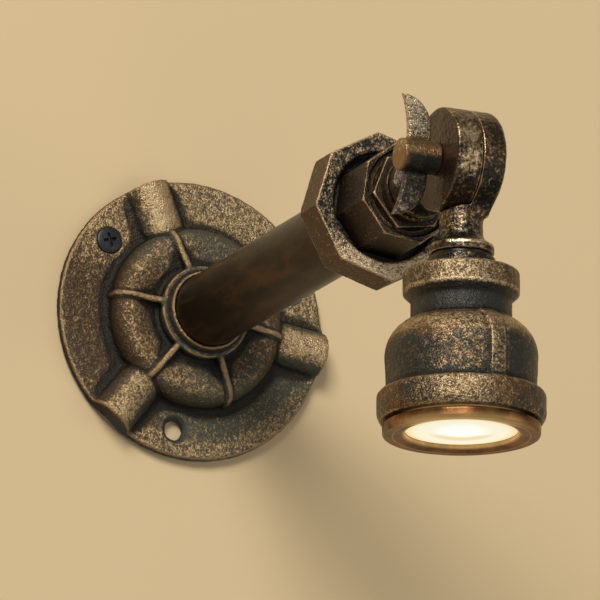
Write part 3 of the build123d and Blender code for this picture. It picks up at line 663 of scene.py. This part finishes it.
class ThreadTree(SurfaceTree):
    """Cuts the turns of a screw thread into a cylinder along -Y."""
    title = "thread_turns"
    numbers = ("Radius", "Start", "End", "Pitch", "Depth")
    skin = 0.2 * MM
    run_out = 0.4 * MM

    def offset(self, place: Quantity, *numbers: Quantity) -> Quantity:
        """Turns cut in by up to the depth, between start and end."""
        radius, start, end, pitch, depth = numbers
        axes = self.node("ShaderNodeSeparateXYZ", {}, {0: place})
        across, along, above = (axes.out(axis) for axis in range(3))
        reach = 0.0 - along
        around = self.node("ShaderNodeCombineXYZ", {}, {0: across, 2: above}).out()
        away = self.vector("LENGTH", "Value", around)
        turns = reach / pitch + above.angle_from(across) * (1.0 / math.tau)
        cut = 1.0 - (turns * 2.0).to_and_fro(1.0)
        on_thread = (((away - radius) * (1.0 / self.skin) + 2.0).held()
                     * ((reach - start) * (1.0 / self.run_out)).held()
                     * ((end - reach) * (1.0 / self.run_out)).held())
        outward = self.vector("NORMALIZE", "Vector", around)
        return self.scaled(outward, 0.0 - cut * on_thread * depth)


@dataclass(frozen=True)
class Thread:
    """The turns of a screw thread on a piece."""
    radius: float
    start: float
    end: float
    pitch: float = 1.81 * MM
    depth: float = 0.85 * MM

    def cut(self, piece: bpy.types.Object, tree: ThreadTree, material: bpy.types.Material) -> None:
        """Cut the turns into a piece."""
        run_nodes(piece, tree, {
            "Radius": self.radius, "Start": self.start, "End": self.end, "Pitch": self.pitch,
            "Depth": self.depth, "Material": material,
        })


def evaluated_mesh(piece: bpy.types.Object) -> None:
    """Replace an object's mesh with what its modifiers make of it, and remove them."""
    graph = bpy.context.evaluated_depsgraph_get()
    mesh = bpy.data.meshes.new_from_object(piece.evaluated_get(graph), depsgraph=graph)
    piece.modifiers.clear()
    piece.data = mesh


def run_nodes(piece: bpy.types.Object, tree: NodeTree, values: dict[str, Any]) -> None:
    """Run a geometry node tree on an object and keep its result as a plain mesh.

    Args:
        piece: the object.
        tree: the geometry node tree.
        values: the tree's named inputs.
    """
    modifier = piece.modifiers.new(tree.tree.name, "NODES")
    modifier.node_group = tree.tree
    for item in tree.tree.interface.items_tree:
        if item.in_out == "INPUT" and item.name in values:
            modifier[item.identifier] = values[item.name]
    evaluated_mesh(piece)


def new_piece(name: str, mesh: bpy.types.Mesh) -> bpy.types.Object:
    """Put a mesh in the scene as an object at the origin."""
    piece = bpy.data.objects.new(name, mesh)
    bpy.context.scene.collection.objects.link(piece)
    return piece


def merged_copy(node: str, name: str) -> bpy.types.Object:
    """A copy of a solid's mesh with its loose triangles joined."""
    work = bmesh.new()
    work.from_mesh(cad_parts[node].data)
    bmesh.ops.remove_doubles(work, verts=work.verts, dist=0.5e-6)
    for layer in list(work.loops.layers.uv):
        work.loops.layers.uv.remove(layer)
    mesh = bpy.data.meshes.new(name)
    work.to_mesh(mesh)
    work.free()
    mesh.materials.clear()
    return new_piece(name, mesh)


def give(piece: bpy.types.Object, material: bpy.types.Material) -> None:
    """Make one material the whole finish of a piece."""
    slots = piece.data.materials
    if len(slots) == 0:
        slots.append(material)
    for index in range(len(slots)):
        slots[index] = material


def shade_smooth(piece: bpy.types.Object) -> None:
    """Shade all faces of a piece smoothly."""
    piece.data.polygons.foreach_set("use_smooth", [True] * len(piece.data.polygons))
    piece.data.update()


@dataclass
class Casting:
    """A solid's shape made again with soft edges, a cast relief, and its wear measured."""
    node: str
    body: str
    slot: str
    voxel: float = 0.40 * MM
    soften: int = 3
    relief: float = 0.16 * MM
    lump: float = 2.4 * MM
    grain: float = 0.8 * MM
    seed: float = 1.0
    edge_rounds: int = 10
    crest_rounds: int = 70
    edge_size: float = 0.22 * MM
    crest_size: float = 0.9 * MM
    front: Triple = OUT
    thread: Thread | None = None

    def build(self, shop: "Workshop", material: bpy.types.Material) -> None:
        """Make the piece, dress it and put it in the solid's place.

        Args:
            shop: where the geometry node trees are kept.
            material: the finish.
        """
        piece = merged_copy(self.node, f"{self.node}_cast")
        remesh = piece.modifiers.new("even_skin", "REMESH")
        remesh.mode = "VOXEL"
        remesh.voxel_size = self.voxel
        evaluated_mesh(piece)
        skin = Skin(piece.data)
        skin.soften(self.soften)
        skin.measure(self.edge_rounds, self.crest_rounds, self.edge_size, self.crest_size, self.front)
        if self.thread:
            self.thread.cut(piece, shop.threads, material)
        run_nodes(piece, shop.relief, {
            "Depth": self.relief, "Lump": self.lump, "Grain": self.grain, "Seed": self.seed,
            "Material": material,
        })
        give(piece, material)
        shade_smooth(piece)
        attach(piece, self.body)
        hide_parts(self.node)
        LOG.info("%s: %d faces", piece.name, len(piece.data.polygons))


@dataclass
class Workshop:
    """What the sub-assemblies share: the geometry node trees and the finishes made so far."""
    relief: ReliefTree = field(default_factory=ReliefTree)
    threads: ThreadTree = field(default_factory=ThreadTree)
    made: dict[str, bpy.types.Material] = field(default_factory=dict)

    def finish(self, finish: Any) -> bpy.types.Material:
        """The material of a finish, made once."""
        if finish.name not in self.made:
            self.made[finish.name] = finish.material()
        return self.made[finish.name]

    def dress(self, node: str, finish: Any) -> None:
        """Give a solid that stays its finish."""
        give(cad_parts[node], self.finish(finish))
        LOG.info("%s: %s", node, finish.name)


# ---- sub-assemblies

@dataclass
class WallFlange:
    """The cast flange on the wall."""
    finish: AntiqueBronze = AntiqueBronze(
        "flange_bronze", dark=(0.066, 0.073, 0.056), warm=(0.066, 0.041, 0.022), gold=(0.290, 0.190, 0.086),
        tip=(0.600, 0.450, 0.260), line=(0.400, 0.270, 0.140), brush_and_light=0.30, crest_gain=0.18,
        flank_wear_and_shade=0.50, hollow_to=0.26, bump_depth=0.28 * MM, contrast=1.45,
        zones=(
            # Painted light: more metal towards the top of the plate.
            Patch((Zone((0.35, 0.0, 0.94), 4.0, OPEN, 14.0), PLATE_ZONE), 0.48),
            Patch((RoundZone(OUT, 25.0, OPEN, 2.0), Zone(OUT, 7.0, OPEN, 1.6)), 0.52),
            # Painted shade: less metal at the lower right of the plate.
            Patch((Zone((0.6, 0.0, -0.8), 8.0, OPEN, 8.0), PLATE_ZONE), -0.06),
            Patch((Zone(DOWN, 30.0, OPEN, 5.0), PLATE_ZONE), 0.12),
            # Painted light: more metal on the left half of the cushion's top.
            Patch((RoundZone(OUT, 15.0, 25.0, 2.0), Zone(OUT, 9.6, OPEN, 1.0),
                   Zone((-1.0, 0.0, -0.2), 0.0, OPEN, 14.0)), 0.26),
            Patch((RoundZone(OUT, 35.5, OPEN, 1.0), Zone((0.25, 0.0, -0.97), 26.0, OPEN, 5.0)), 0.28),
            RoundZone(OUT, -OPEN, 4.2, 0.2, -0.8, (-4.95, 0.0, -33.13)),
            RoundZone(OUT, -OPEN, 4.2, 0.2, -0.8, (31.17, 0.0, 12.28)),
        ),
        warm_zones=(
            # Painted light: warmer towards the left.
            Zone((-1.0, 0.0, -0.2), 14.0, OPEN, 10.0, 0.8),
            # Painted shade: no warmth at the lower right of the plate.
            Patch((Zone((0.6, 0.0, -0.8), 6.0, OPEN, 8.0), PLATE_ZONE), -1.0),
        ),
    )

    def build(self, shop: Workshop) -> None:
        """Make the flange."""
        casting = Casting("wall_flange", "base", "bronze_cast", voxel=0.455 * MM, relief=0.24 * MM,
                          lump=1.9 * MM, crest_rounds=110, crest_size=1.3 * MM, seed=3.0)
        casting.build(shop, shop.finish(self.finish))


@dataclass
class WallScrew:
    """The one countersunk screw that is fitted in the flange, cut off at the wall."""
    finish: SatinMetal = SatinMetal("black_screw", (0.020, 0.024, 0.027), (0.055, 0.062, 0.068), 0.40, 0.6)
    at: float = 141.5
    circle: float = 33.5 * MM
    plate: float = 3.2 * MM
    below: float = 0.15 * MM
    head_radius: float = 3.9 * MM
    shank_radius: float = 2.55 * MM
    start: float = 0.05 * MM
    sink: float = 1.45 * MM
    rim: float = 0.12 * MM
    dome: float = 0.70 * MM
    cross_length: float = 4.4 * MM
    cross_width: float = 0.95 * MM
    cross_depth: float = 1.1 * MM
    soft: float = 0.16 * MM
    turn: float = 14.0
    sides: int = 144
    rings: int = 40

    def build(self, shop: Workshop) -> None:
        """Turn the screw, press its cross in, and put it in its hole."""
        seat = self.plate - self.below
        profile = [(0.0, self.start), (self.shank_radius, self.start),
                   (self.shank_radius, self.plate - self.sink), (self.head_radius, seat)]
        for step in range(self.rings + 1):
            share = step / self.rings
            height = seat + self.rim + self.dome * math.sqrt(1.0 - (1.0 - share) ** 2)
            profile.append((self.head_radius * (1.0 - share), height))
        screw = new_piece("wall_screw", turned_mesh("wall_screw", profile, self.sides))
        for vertex in screw.data.vertices:
            if vertex.co.z > seat + self.rim / 2:
                vertex.co.z -= self.press(vertex.co.x, vertex.co.y)
        angle = math.radians(self.at)
        centre = Vector((self.circle * math.cos(angle), 0.0, self.circle * math.sin(angle)))
        out = Matrix.Rotation(math.radians(90), 4, "X") @ Matrix.Rotation(math.radians(self.turn), 4, "Z")
        screw.data.transform(Matrix.Translation(centre) @ out)
        give(screw, shop.finish(self.finish))
        shade_smooth(screw)
        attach(screw, "base")
        LOG.info("wall_screw: %d faces", len(screw.data.polygons))

    def press(self, across: float, along: float) -> float:
        """Depth of the cross at a place on the head."""
        return self.cross_depth * max(self.arm(across, along), self.arm(along, across))

    def arm(self, across: float, along: float) -> float:
        """How far inside one arm of the cross a place is, from 0 to 1."""
        beside = (self.cross_width / 2 - abs(across)) / self.soft
        before = (self.cross_length / 2 - abs(along)) / (4 * self.soft)
        return max(0.0, min(1.0, beside)) * max(0.0, min(1.0, before))


def turned_mesh(name: str, profile: Sequence[tuple[float, float]], sides: int) -> bpy.types.Mesh:
    """Closed mesh turned about Z from (radius, height) points that start and end on the axis.

    Args:
        name: the mesh's name.
        profile: points of the outline, from the lowest to the highest.
        sides: number of sides.

    Returns:
        The mesh.
    """
    angles = [math.tau * step / sides for step in range(sides)]
    points = [(0.0, 0.0, profile[0][1]), (0.0, 0.0, profile[-1][1])]
    rings = profile[1:-1]
    for radius, height in rings:
        points += [(radius * math.cos(angle), radius * math.sin(angle), height) for angle in angles]
    faces: list[tuple[int, ...]] = []
    for step in range(sides):
        here, after = 2 + step, 2 + (step + 1) % sides
        faces.append((0, after, here))
        for ring in range(len(rings) - 1):
            low, high = ring * sides, (ring + 1) * sides
            faces.append((here + low, after + low, after + high, here + high))
        last = (len(rings) - 1) * sides
        faces.append((1, here + last, after + last))
    mesh = bpy.data.meshes.new(name)
    mesh.from_pydata(points, [], faces)
    mesh.update()
    return mesh


@dataclass
class SupplyPipe:
    """The pipe between flange and union, with the leads inside the light."""
    finish: DarkPipe = DarkPipe("pipe_bronze")
    sheath: PlainFinish = PlainFinish("sheath_black", (0.020, 0.020, 0.021), (0.035, 0.035, 0.036), 0.7)

    def build(self, shop: Workshop) -> None:
        """Dress the pipe and the leads."""
        shop.dress("supply_pipe", self.finish)
        shop.dress("supply_lead", self.sheath)
        shop.dress("lamp_lead", self.sheath)


@dataclass
class Union:
    """Thread end, washer, eight-sided nut and eight-sided tail end."""
    nut: AntiqueBronze = AntiqueBronze(
        "nut_bronze", dark=(0.016, 0.016, 0.014), warm=(0.064, 0.034, 0.014), gold=(0.400, 0.290, 0.170),
        tip=(0.860, 0.680, 0.460), brush_and_light=0.02, crest_gain=0.20, line_from=0.30, contrast=1.5,
        blotch=5.0 * MM,
        zones=(
            Zone(OUT, 132.35, OPEN, 0.15, 0.36),
            # Painted highlight: more metal on the lower part of the front face.
            Patch((Zone(OUT, 132.35, OPEN, 0.15), Zone(DOWN, 11.0, OPEN, 5.0)), 0.70),
        ),
        warm_zones=(
            Zone(OUT, 0.0, 132.2, 0.2, 1.0),
            Zone(OUT, 132.35, OPEN, 0.15, -1.0),
        ),
    )
    tail: AntiqueBronze = AntiqueBronze(
        "tail_bronze", dark=(0.012, 0.011, 0.009), warm=(0.034, 0.020, 0.010), brush_and_light=0.06, crest_gain=0.25,
        roughness=0.38, line_from=0.30,
    )
    fibre: PlainFinish = PlainFinish("fibre_red", (0.16, 0.045, 0.028), (0.24, 0.08, 0.05), 0.75)
    thread: Thread = Thread(16.5 * MM, 119.6 * MM, 126.3 * MM)

    def build(self, shop: Workshop) -> None:
        """Make the cast pieces and dress the washer."""
        cast = (("union_nut", "union_nut", self.nut, None), ("union_tail_end", "arm", self.tail, None),
                ("arm_bush", "arm", self.tail, None), ("union_thread_end", "base", self.tail, self.thread))
        for seed, (node, body, finish, thread) in enumerate(cast, 5):
            casting = Casting(node, body, "bronze_cast", voxel=0.30 * MM, relief=0.10 * MM,
                              seed=float(seed), thread=thread)
            casting.build(shop, shop.finish(finish))
        shop.dress("union_washer", self.fibre)


@dataclass
class Knuckle:
    """Both halves of the knuckle, their washers and lock rings, and the stop pin."""
    finish: AntiqueBronze = AntiqueBronze(
        "knuckle_bronze", dark=(0.014, 0.014, 0.012), warm=(0.040, 0.024, 0.013),
        gold=(0.360, 0.250, 0.130), tip=(0.800, 0.640, 0.430), brush_and_light=0.15, crest_gain=0.30, line_from=0.34,
        blotch=3.6 * MM, patch_gain=1.10, fine=0.85 * MM, coarse=3.0 * MM, contrast=1.05,
        bump_depth=0.15 * MM, roughness=0.22, metal=0.6, brushed_roughness=0.24, brushed_metal=0.25,
        zones=(
            Zone(LEFT, 7.2, OPEN, 0.2, -0.45),
            Patch((Zone(LEFT, 1.2, 6.6, 1.2), Zone(OUT, 188.5, OPEN, 2.0),
                   Zone(DOWN, -9.0, 7.0, 3.0)), 0.62),
            # Painted sheen down the front of the neck.
            Patch((Zone(DOWN, 15.0, 22.5, 1.0), LIT_FRONT_OF_LAMP), 0.16),
            # Painted highlight line along the top edge of the collar.
            Zone(DOWN, 23.5, 24.5, 0.2, 0.75),
        ),
        warm_zones=(Zone(LEFT, 7.2, OPEN, 0.2, 0.8),),
    )
    steel: SatinMetal = SatinMetal("spring_steel", (0.060, 0.056, 0.050), (0.030, 0.028, 0.025), 0.35)

    def build(self, shop: Workshop) -> None:
        """Make the knuckle's halves and rings and dress the rest."""
        bronze = shop.finish(self.finish)
        for node, body, seed in (("arm_knuckle", "arm", 17.0), ("lamp_knuckle", "head", 19.0)):
            Casting(node, body, "bronze_smooth", voxel=0.30 * MM, relief=0.14 * MM, seed=seed,
                    lump=1.6 * MM).build(shop, bronze)
        for node, body, seed in (("arm_lock_ring", "arm", 23.0), ("lamp_lock_ring", "head", 29.0)):
            Casting(node, body, "bronze_smooth", voxel=0.22 * MM, relief=0.05 * MM, seed=seed).build(
                shop, bronze)
        for node in ("arm_spring_washer", "lamp_spring_washer", "stop_pin", "board_screws"):
            shop.dress(node, self.steel)


@dataclass
class WingScrew:
    """The wing screw in worn brass, with a painted highlight along its top and painted shade beneath."""
    finish: AntiqueBronze = AntiqueBronze(
        "worn_brass", dark=(0.032, 0.034, 0.030), warm=(0.230, 0.125, 0.050), gold=(0.330, 0.245, 0.140),
        tip=(0.740, 0.640, 0.470), line=(0.620, 0.450, 0.250), brush_and_light=0.42, crest_gain=0.20, line_from=0.28,
        roughness=0.34, brushed_roughness=0.26, metal=0.75, brushed_metal=0.15, blotch=4.0 * MM,
        zones=(
            # Painted light from above: the lower half of the barrel and the lower wing get less metal as
            # painted shade, the upper wing more as a painted highlight.
            Zone(DOWN, -4.7, -0.4, 0.8, 0.05),
            Zone(DOWN, -0.4, 4.7, 0.8, -0.45),
            Zone(UP, 4.8, OPEN, 0.3, 0.50),
            Zone(DOWN, 4.8, OPEN, 0.3, -0.12),
        ),
        warm_zones=(
            # The upper half of the barrel is warmer as a painted highlight; the end face is copper-brown
            # and the wings are cooler.
            Zone(DOWN, -4.7, 0.5, 0.8, 1.0),
            Patch((Zone(DOWN, -4.7, 4.7, 0.3), Zone(LEFT, 18.0, OPEN, 0.3)), 1.0),
            Zone(UP, 4.8, OPEN, 0.3, -0.8),
            Zone(DOWN, 4.8, OPEN, 0.3, -0.8),
        ),
    )

    def build(self, shop: Workshop) -> None:
        """Make the wing screw."""
        Casting("wing_screw", "wing_screw", "worn_brass", voxel=0.20 * MM, relief=0.08 * MM, lump=1.4 * MM,
                seed=31.0).build(shop, shop.finish(self.finish))


@dataclass
class LampHousing:
    """The bell-shaped housing with the bush in its top."""
    finish: AntiqueBronze = AntiqueBronze(
        "housing_bronze", dark=(0.026, 0.029, 0.026), warm=(0.085, 0.043, 0.018),
        gold=(0.310, 0.200, 0.095), brush_and_light=0.10, crest_gain=0.25, patch_gain=0.35, blotch=7.0 * MM,
        roughness=0.38, metal=0.5,
        zones=(
            Zone(DOWN, 29.0, 36.7, 0.5, 0.24),
            Zone(DOWN, 37.6, 44.0, 0.6, -0.10),
            # Painted highlight: more metal on the front of the band.
            Patch((Zone(DOWN, 29.0, 36.7, 0.5), LIT_FRONT_OF_LAMP), 0.30),
            Zone(DOWN, 36.1, 37.2, 0.25, 0.40),
            # The top of the shoulder gets more metal: dry-brushed wear and painted light from above.
            Zone(DOWN, 44.5, 50.0, 2.4, 0.70),
            # Specks on the bell, thicker on its front as painted glints.
            Patch((Zone(DOWN, 50.0, 62.6, 0.8), SPECKS_AND_GLINTS_BESIDE_RIB), 0.32),
            Patch((Zone(DOWN, 50.0, 64.0, 0.8), RIB_OF_LAMP), 0.42),
            Zone(DOWN, 63.5, 80.0, 0.3, 0.12),
            # Painted highlight: more metal on the front of the mouth band.
            Patch((Zone(DOWN, 63.5, 80.0, 0.3), LIT_FRONT_OF_LAMP), 0.40),
            Zone(DOWN, 63.7, 64.7, 0.25, 0.22),
            Zone(DOWN, 71.1, 80.0, 0.25, 0.06),
        ),
        warm_zones=(
            # The top of the shoulder is warmer: partly painted light from above.
            Zone(DOWN, 44.5, 50.0, 2.0, 0.9),
            Zone(DOWN, 36.9, 44.0, 0.6, -1.0),
            Zone(DOWN, 52.5, 63.4, 1.2, -0.8),
        ),
    )

    def build(self, shop: Workshop) -> None:
        """Make the housing and the bush."""
        bronze = shop.finish(self.finish)
        Casting("lamp_housing", "head", "bronze_cast", voxel=0.40 * MM, relief=0.16 * MM, lump=1.8 * MM,
                crest_rounds=110, crest_size=1.1 * MM, seed=37.0).build(shop, bronze)
        Casting("lamp_top_bush", "head", "bronze_cast", voxel=0.30 * MM, relief=0.08 * MM, seed=41.0).build(
            shop, bronze)


@dataclass
class LightSource:
    """Trim ring, lens and what lies behind the lens."""
    ring: CopperRing = CopperRing("copper_ring")
    inside: tuple[tuple[str, Any], ...] = (
        ("lens", LitGlass("lit_glass")),
        ("lens_gasket", PlainFinish("gasket_black", (0.025, 0.024, 0.023), (0.05, 0.05, 0.05), 0.8)),
        ("reflector", SatinMetal("polished_reflector", (0.85, 0.85, 0.85), (0.75, 0.75, 0.76), 0.10, 1.0)),
        ("led_emitter", PlainFinish("phosphor", (0.95, 0.72, 0.20), (0.85, 0.62, 0.16), 0.5)),
        ("led_board", PlainFinish("board_white", (0.80, 0.80, 0.78), (0.70, 0.70, 0.69), 0.45)),
        ("heat_sink", SatinMetal("turned_aluminium", (0.60, 0.61, 0.63), (0.48, 0.49, 0.51), 0.3)),
        ("driver_capsule", PlainFinish("potting_black", (0.022, 0.022, 0.024), (0.04, 0.04, 0.043), 0.35)),
    )

    def build(self, shop: Workshop) -> None:
        """Make the trim ring and dress the rest."""
        ring = Casting("trim_ring", "head", "copper_ring", voxel=0.25 * MM, relief=0.02 * MM, seed=43.0)
        ring.build(shop, shop.finish(self.ring))
        for node, finish in self.inside:
            shop.dress(node, finish)


# ---- studio

@dataclass
class PhotoCamera:
    """Camera that sees the light as the photograph does."""
    azimuth: float = 24.852602636
    elevation: float = 15.587479739
    roll: float = 0.209373445
    centre: tuple[float, float] = (-10.905423458, 14.551689237)
    distance: float = 2.0
    pixels_per_mm: float = 3.568074238
    aim: Triple = (0.0, -0.070, -0.015)
    picture: int = 600
    sensor: float = 36.0

    def build(self) -> None:
        """Place the camera."""
        azimuth, elevation, roll = (math.radians(v) for v in (self.azimuth, self.elevation, self.roll))
        ahead = Vector((math.sin(azimuth) * math.cos(elevation), math.cos(azimuth) * math.cos(elevation),
                        math.sin(elevation)))
        level = Vector((math.cos(azimuth), -math.sin(azimuth), 0.0))
        above = level.cross(ahead)
        right = level * math.cos(roll) + above * math.sin(roll)
        up = above * math.cos(roll) - level * math.sin(roll)
        shift = [value / self.pixels_per_mm * MM for value in self.centre]
        place = Vector(self.aim) - ahead * self.distance - right * shift[0] + up * shift[1]
        data = bpy.data.cameras.new("photo_camera")
        data.sensor_width = self.sensor
        data.lens = self.pixels_per_mm / MM * self.distance * self.sensor / self.picture
        camera = bpy.data.objects.new("photo_camera", data)
        turn = Matrix((right, up, -ahead)).transposed()
        camera.matrix_world = Matrix.Translation(place) @ turn.to_4x4()
        bpy.context.scene.collection.objects.link(camera)
        bpy.context.scene.camera = camera


@dataclass(frozen=True)
class SoftLamp:
    """One soft square lamp aimed at the light: its place, side in metres and power in watts."""
    name: str
    place: Triple
    size: float
    power: float
    colour: Colour
    aim: Triple = (0.0, -0.09, -0.01)

    def build(self) -> None:
        """Put the lamp in the scene."""
        data = bpy.data.lights.new(self.name, "AREA")
        data.size, data.energy, data.color = self.size, self.power, self.colour
        lamp = bpy.data.objects.new(self.name, data)
        turn = (Vector(self.aim) - Vector(self.place)).to_track_quat("-Z", "Y").to_matrix().to_4x4()
        lamp.matrix_world = Matrix.Translation(self.place) @ turn
        bpy.context.scene.collection.objects.link(lamp)


@dataclass
class Studio:
    """Plain pale wall, soft lamps and an even world."""
    wall_colour: Colour = (0.70, 0.55, 0.33)
    wall_half: float = 1.6
    wall_back: float = 0.4 * MM
    glance: float = 12.0 * MM
    world_colour: Colour = (0.93, 0.90, 0.84)
    world_power: float = 0.17
    lamps: tuple[SoftLamp, ...] = (
        SoftLamp("key", (-1.20, -2.00, 1.30), 1.1, 60.0, (1.0, 0.94, 0.85)),
        SoftLamp("fill", (1.4, -1.6, -0.30), 1.5, 7.5, (1.0, 0.93, 0.84)),
        SoftLamp("low", (-0.3, -1.6, -1.4), 1.2, 4.0, (1.0, 0.94, 0.86)),
    )

    def build(self) -> None:
        """Make the wall, the lamps and the world."""
        bpy.context.scene.view_settings.view_transform = "Standard"
        self.build_wall()
        self.build_world()
        for lamp in self.lamps:
            lamp.build()

    def build_wall(self) -> None:
        """Wall seen from the front only, so that the back of the light can be looked at too."""
        half, back = self.wall_half, self.wall_back
        mesh = bpy.data.meshes.new("backdrop")
        corners = [(-half, back, -half), (half, back, -half), (half, back, half), (-half, back, half)]
        mesh.from_pydata(corners, [], [(0, 1, 2, 3)])
        wall = new_piece("backdrop", mesh)
        tree = MaterialTree("backdrop_paint")
        sockets = {"Base Color": self.wall_colour, "Roughness": 0.9}
        paint = tree.node("ShaderNodeBsdfPrincipled", {}, sockets).out("BSDF")
        clear = tree.node("ShaderNodeBsdfTransparent").out()
        path = tree.node("ShaderNodeLightPath")
        sockets = {0: path.out("Ray Length"), 1: self.glance}
        near = tree.node("ShaderNodeMath", {"operation": "LESS_THAN"}, sockets).out()
        hidden = tree.node("ShaderNodeNewGeometry").out("Backfacing").higher(near)
        shader = tree.node("ShaderNodeMixShader", {}, {0: hidden, 1: paint, 2: clear}).out()
        tree.node("ShaderNodeOutputMaterial", {}, {"Surface": shader})
        give(wall, tree.material)

    def build_world(self) -> None:
        """Even light; the camera and rays through glass see the wall's own colour."""
        world = bpy.data.worlds.new("even_light")
        world.use_nodes = True
        bpy.context.scene.world = world
        tree = NodeTree(world.node_tree)
        tree.tree.nodes.clear()
        path = tree.node("ShaderNodeLightPath")
        seen = path.out("Is Camera Ray").higher(path.out("Is Transmission Ray"))
        light, plain = (
            tree.node("ShaderNodeBackground", {}, {"Color": colour, "Strength": power}).out()
            for colour, power in ((self.world_colour, self.world_power), (self.wall_colour, 1.0)))
        shader = tree.node("ShaderNodeMixShader", {}, {0: seen, 1: light, 2: plain}).out()
        tree.node("ShaderNodeOutputWorld", {}, {"Surface": shader})


def main() -> None:
    """Build the camera, every sub-assembly and the studio, in order."""
    logging.basicConfig(level=logging.INFO, format="%(name)s: %(message)s")
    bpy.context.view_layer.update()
    PhotoCamera().build()
    shop = Workshop()
    parts = (WallFlange(), WallScrew(), SupplyPipe(), Union(), Knuckle(), WingScrew(), LampHousing(),
             LightSource())
    for part in parts:
        part.build(shop)
        LOG.info("%s is done", type(part).__name__)
    Studio().build()


if __name__ == "__main__":
    main()
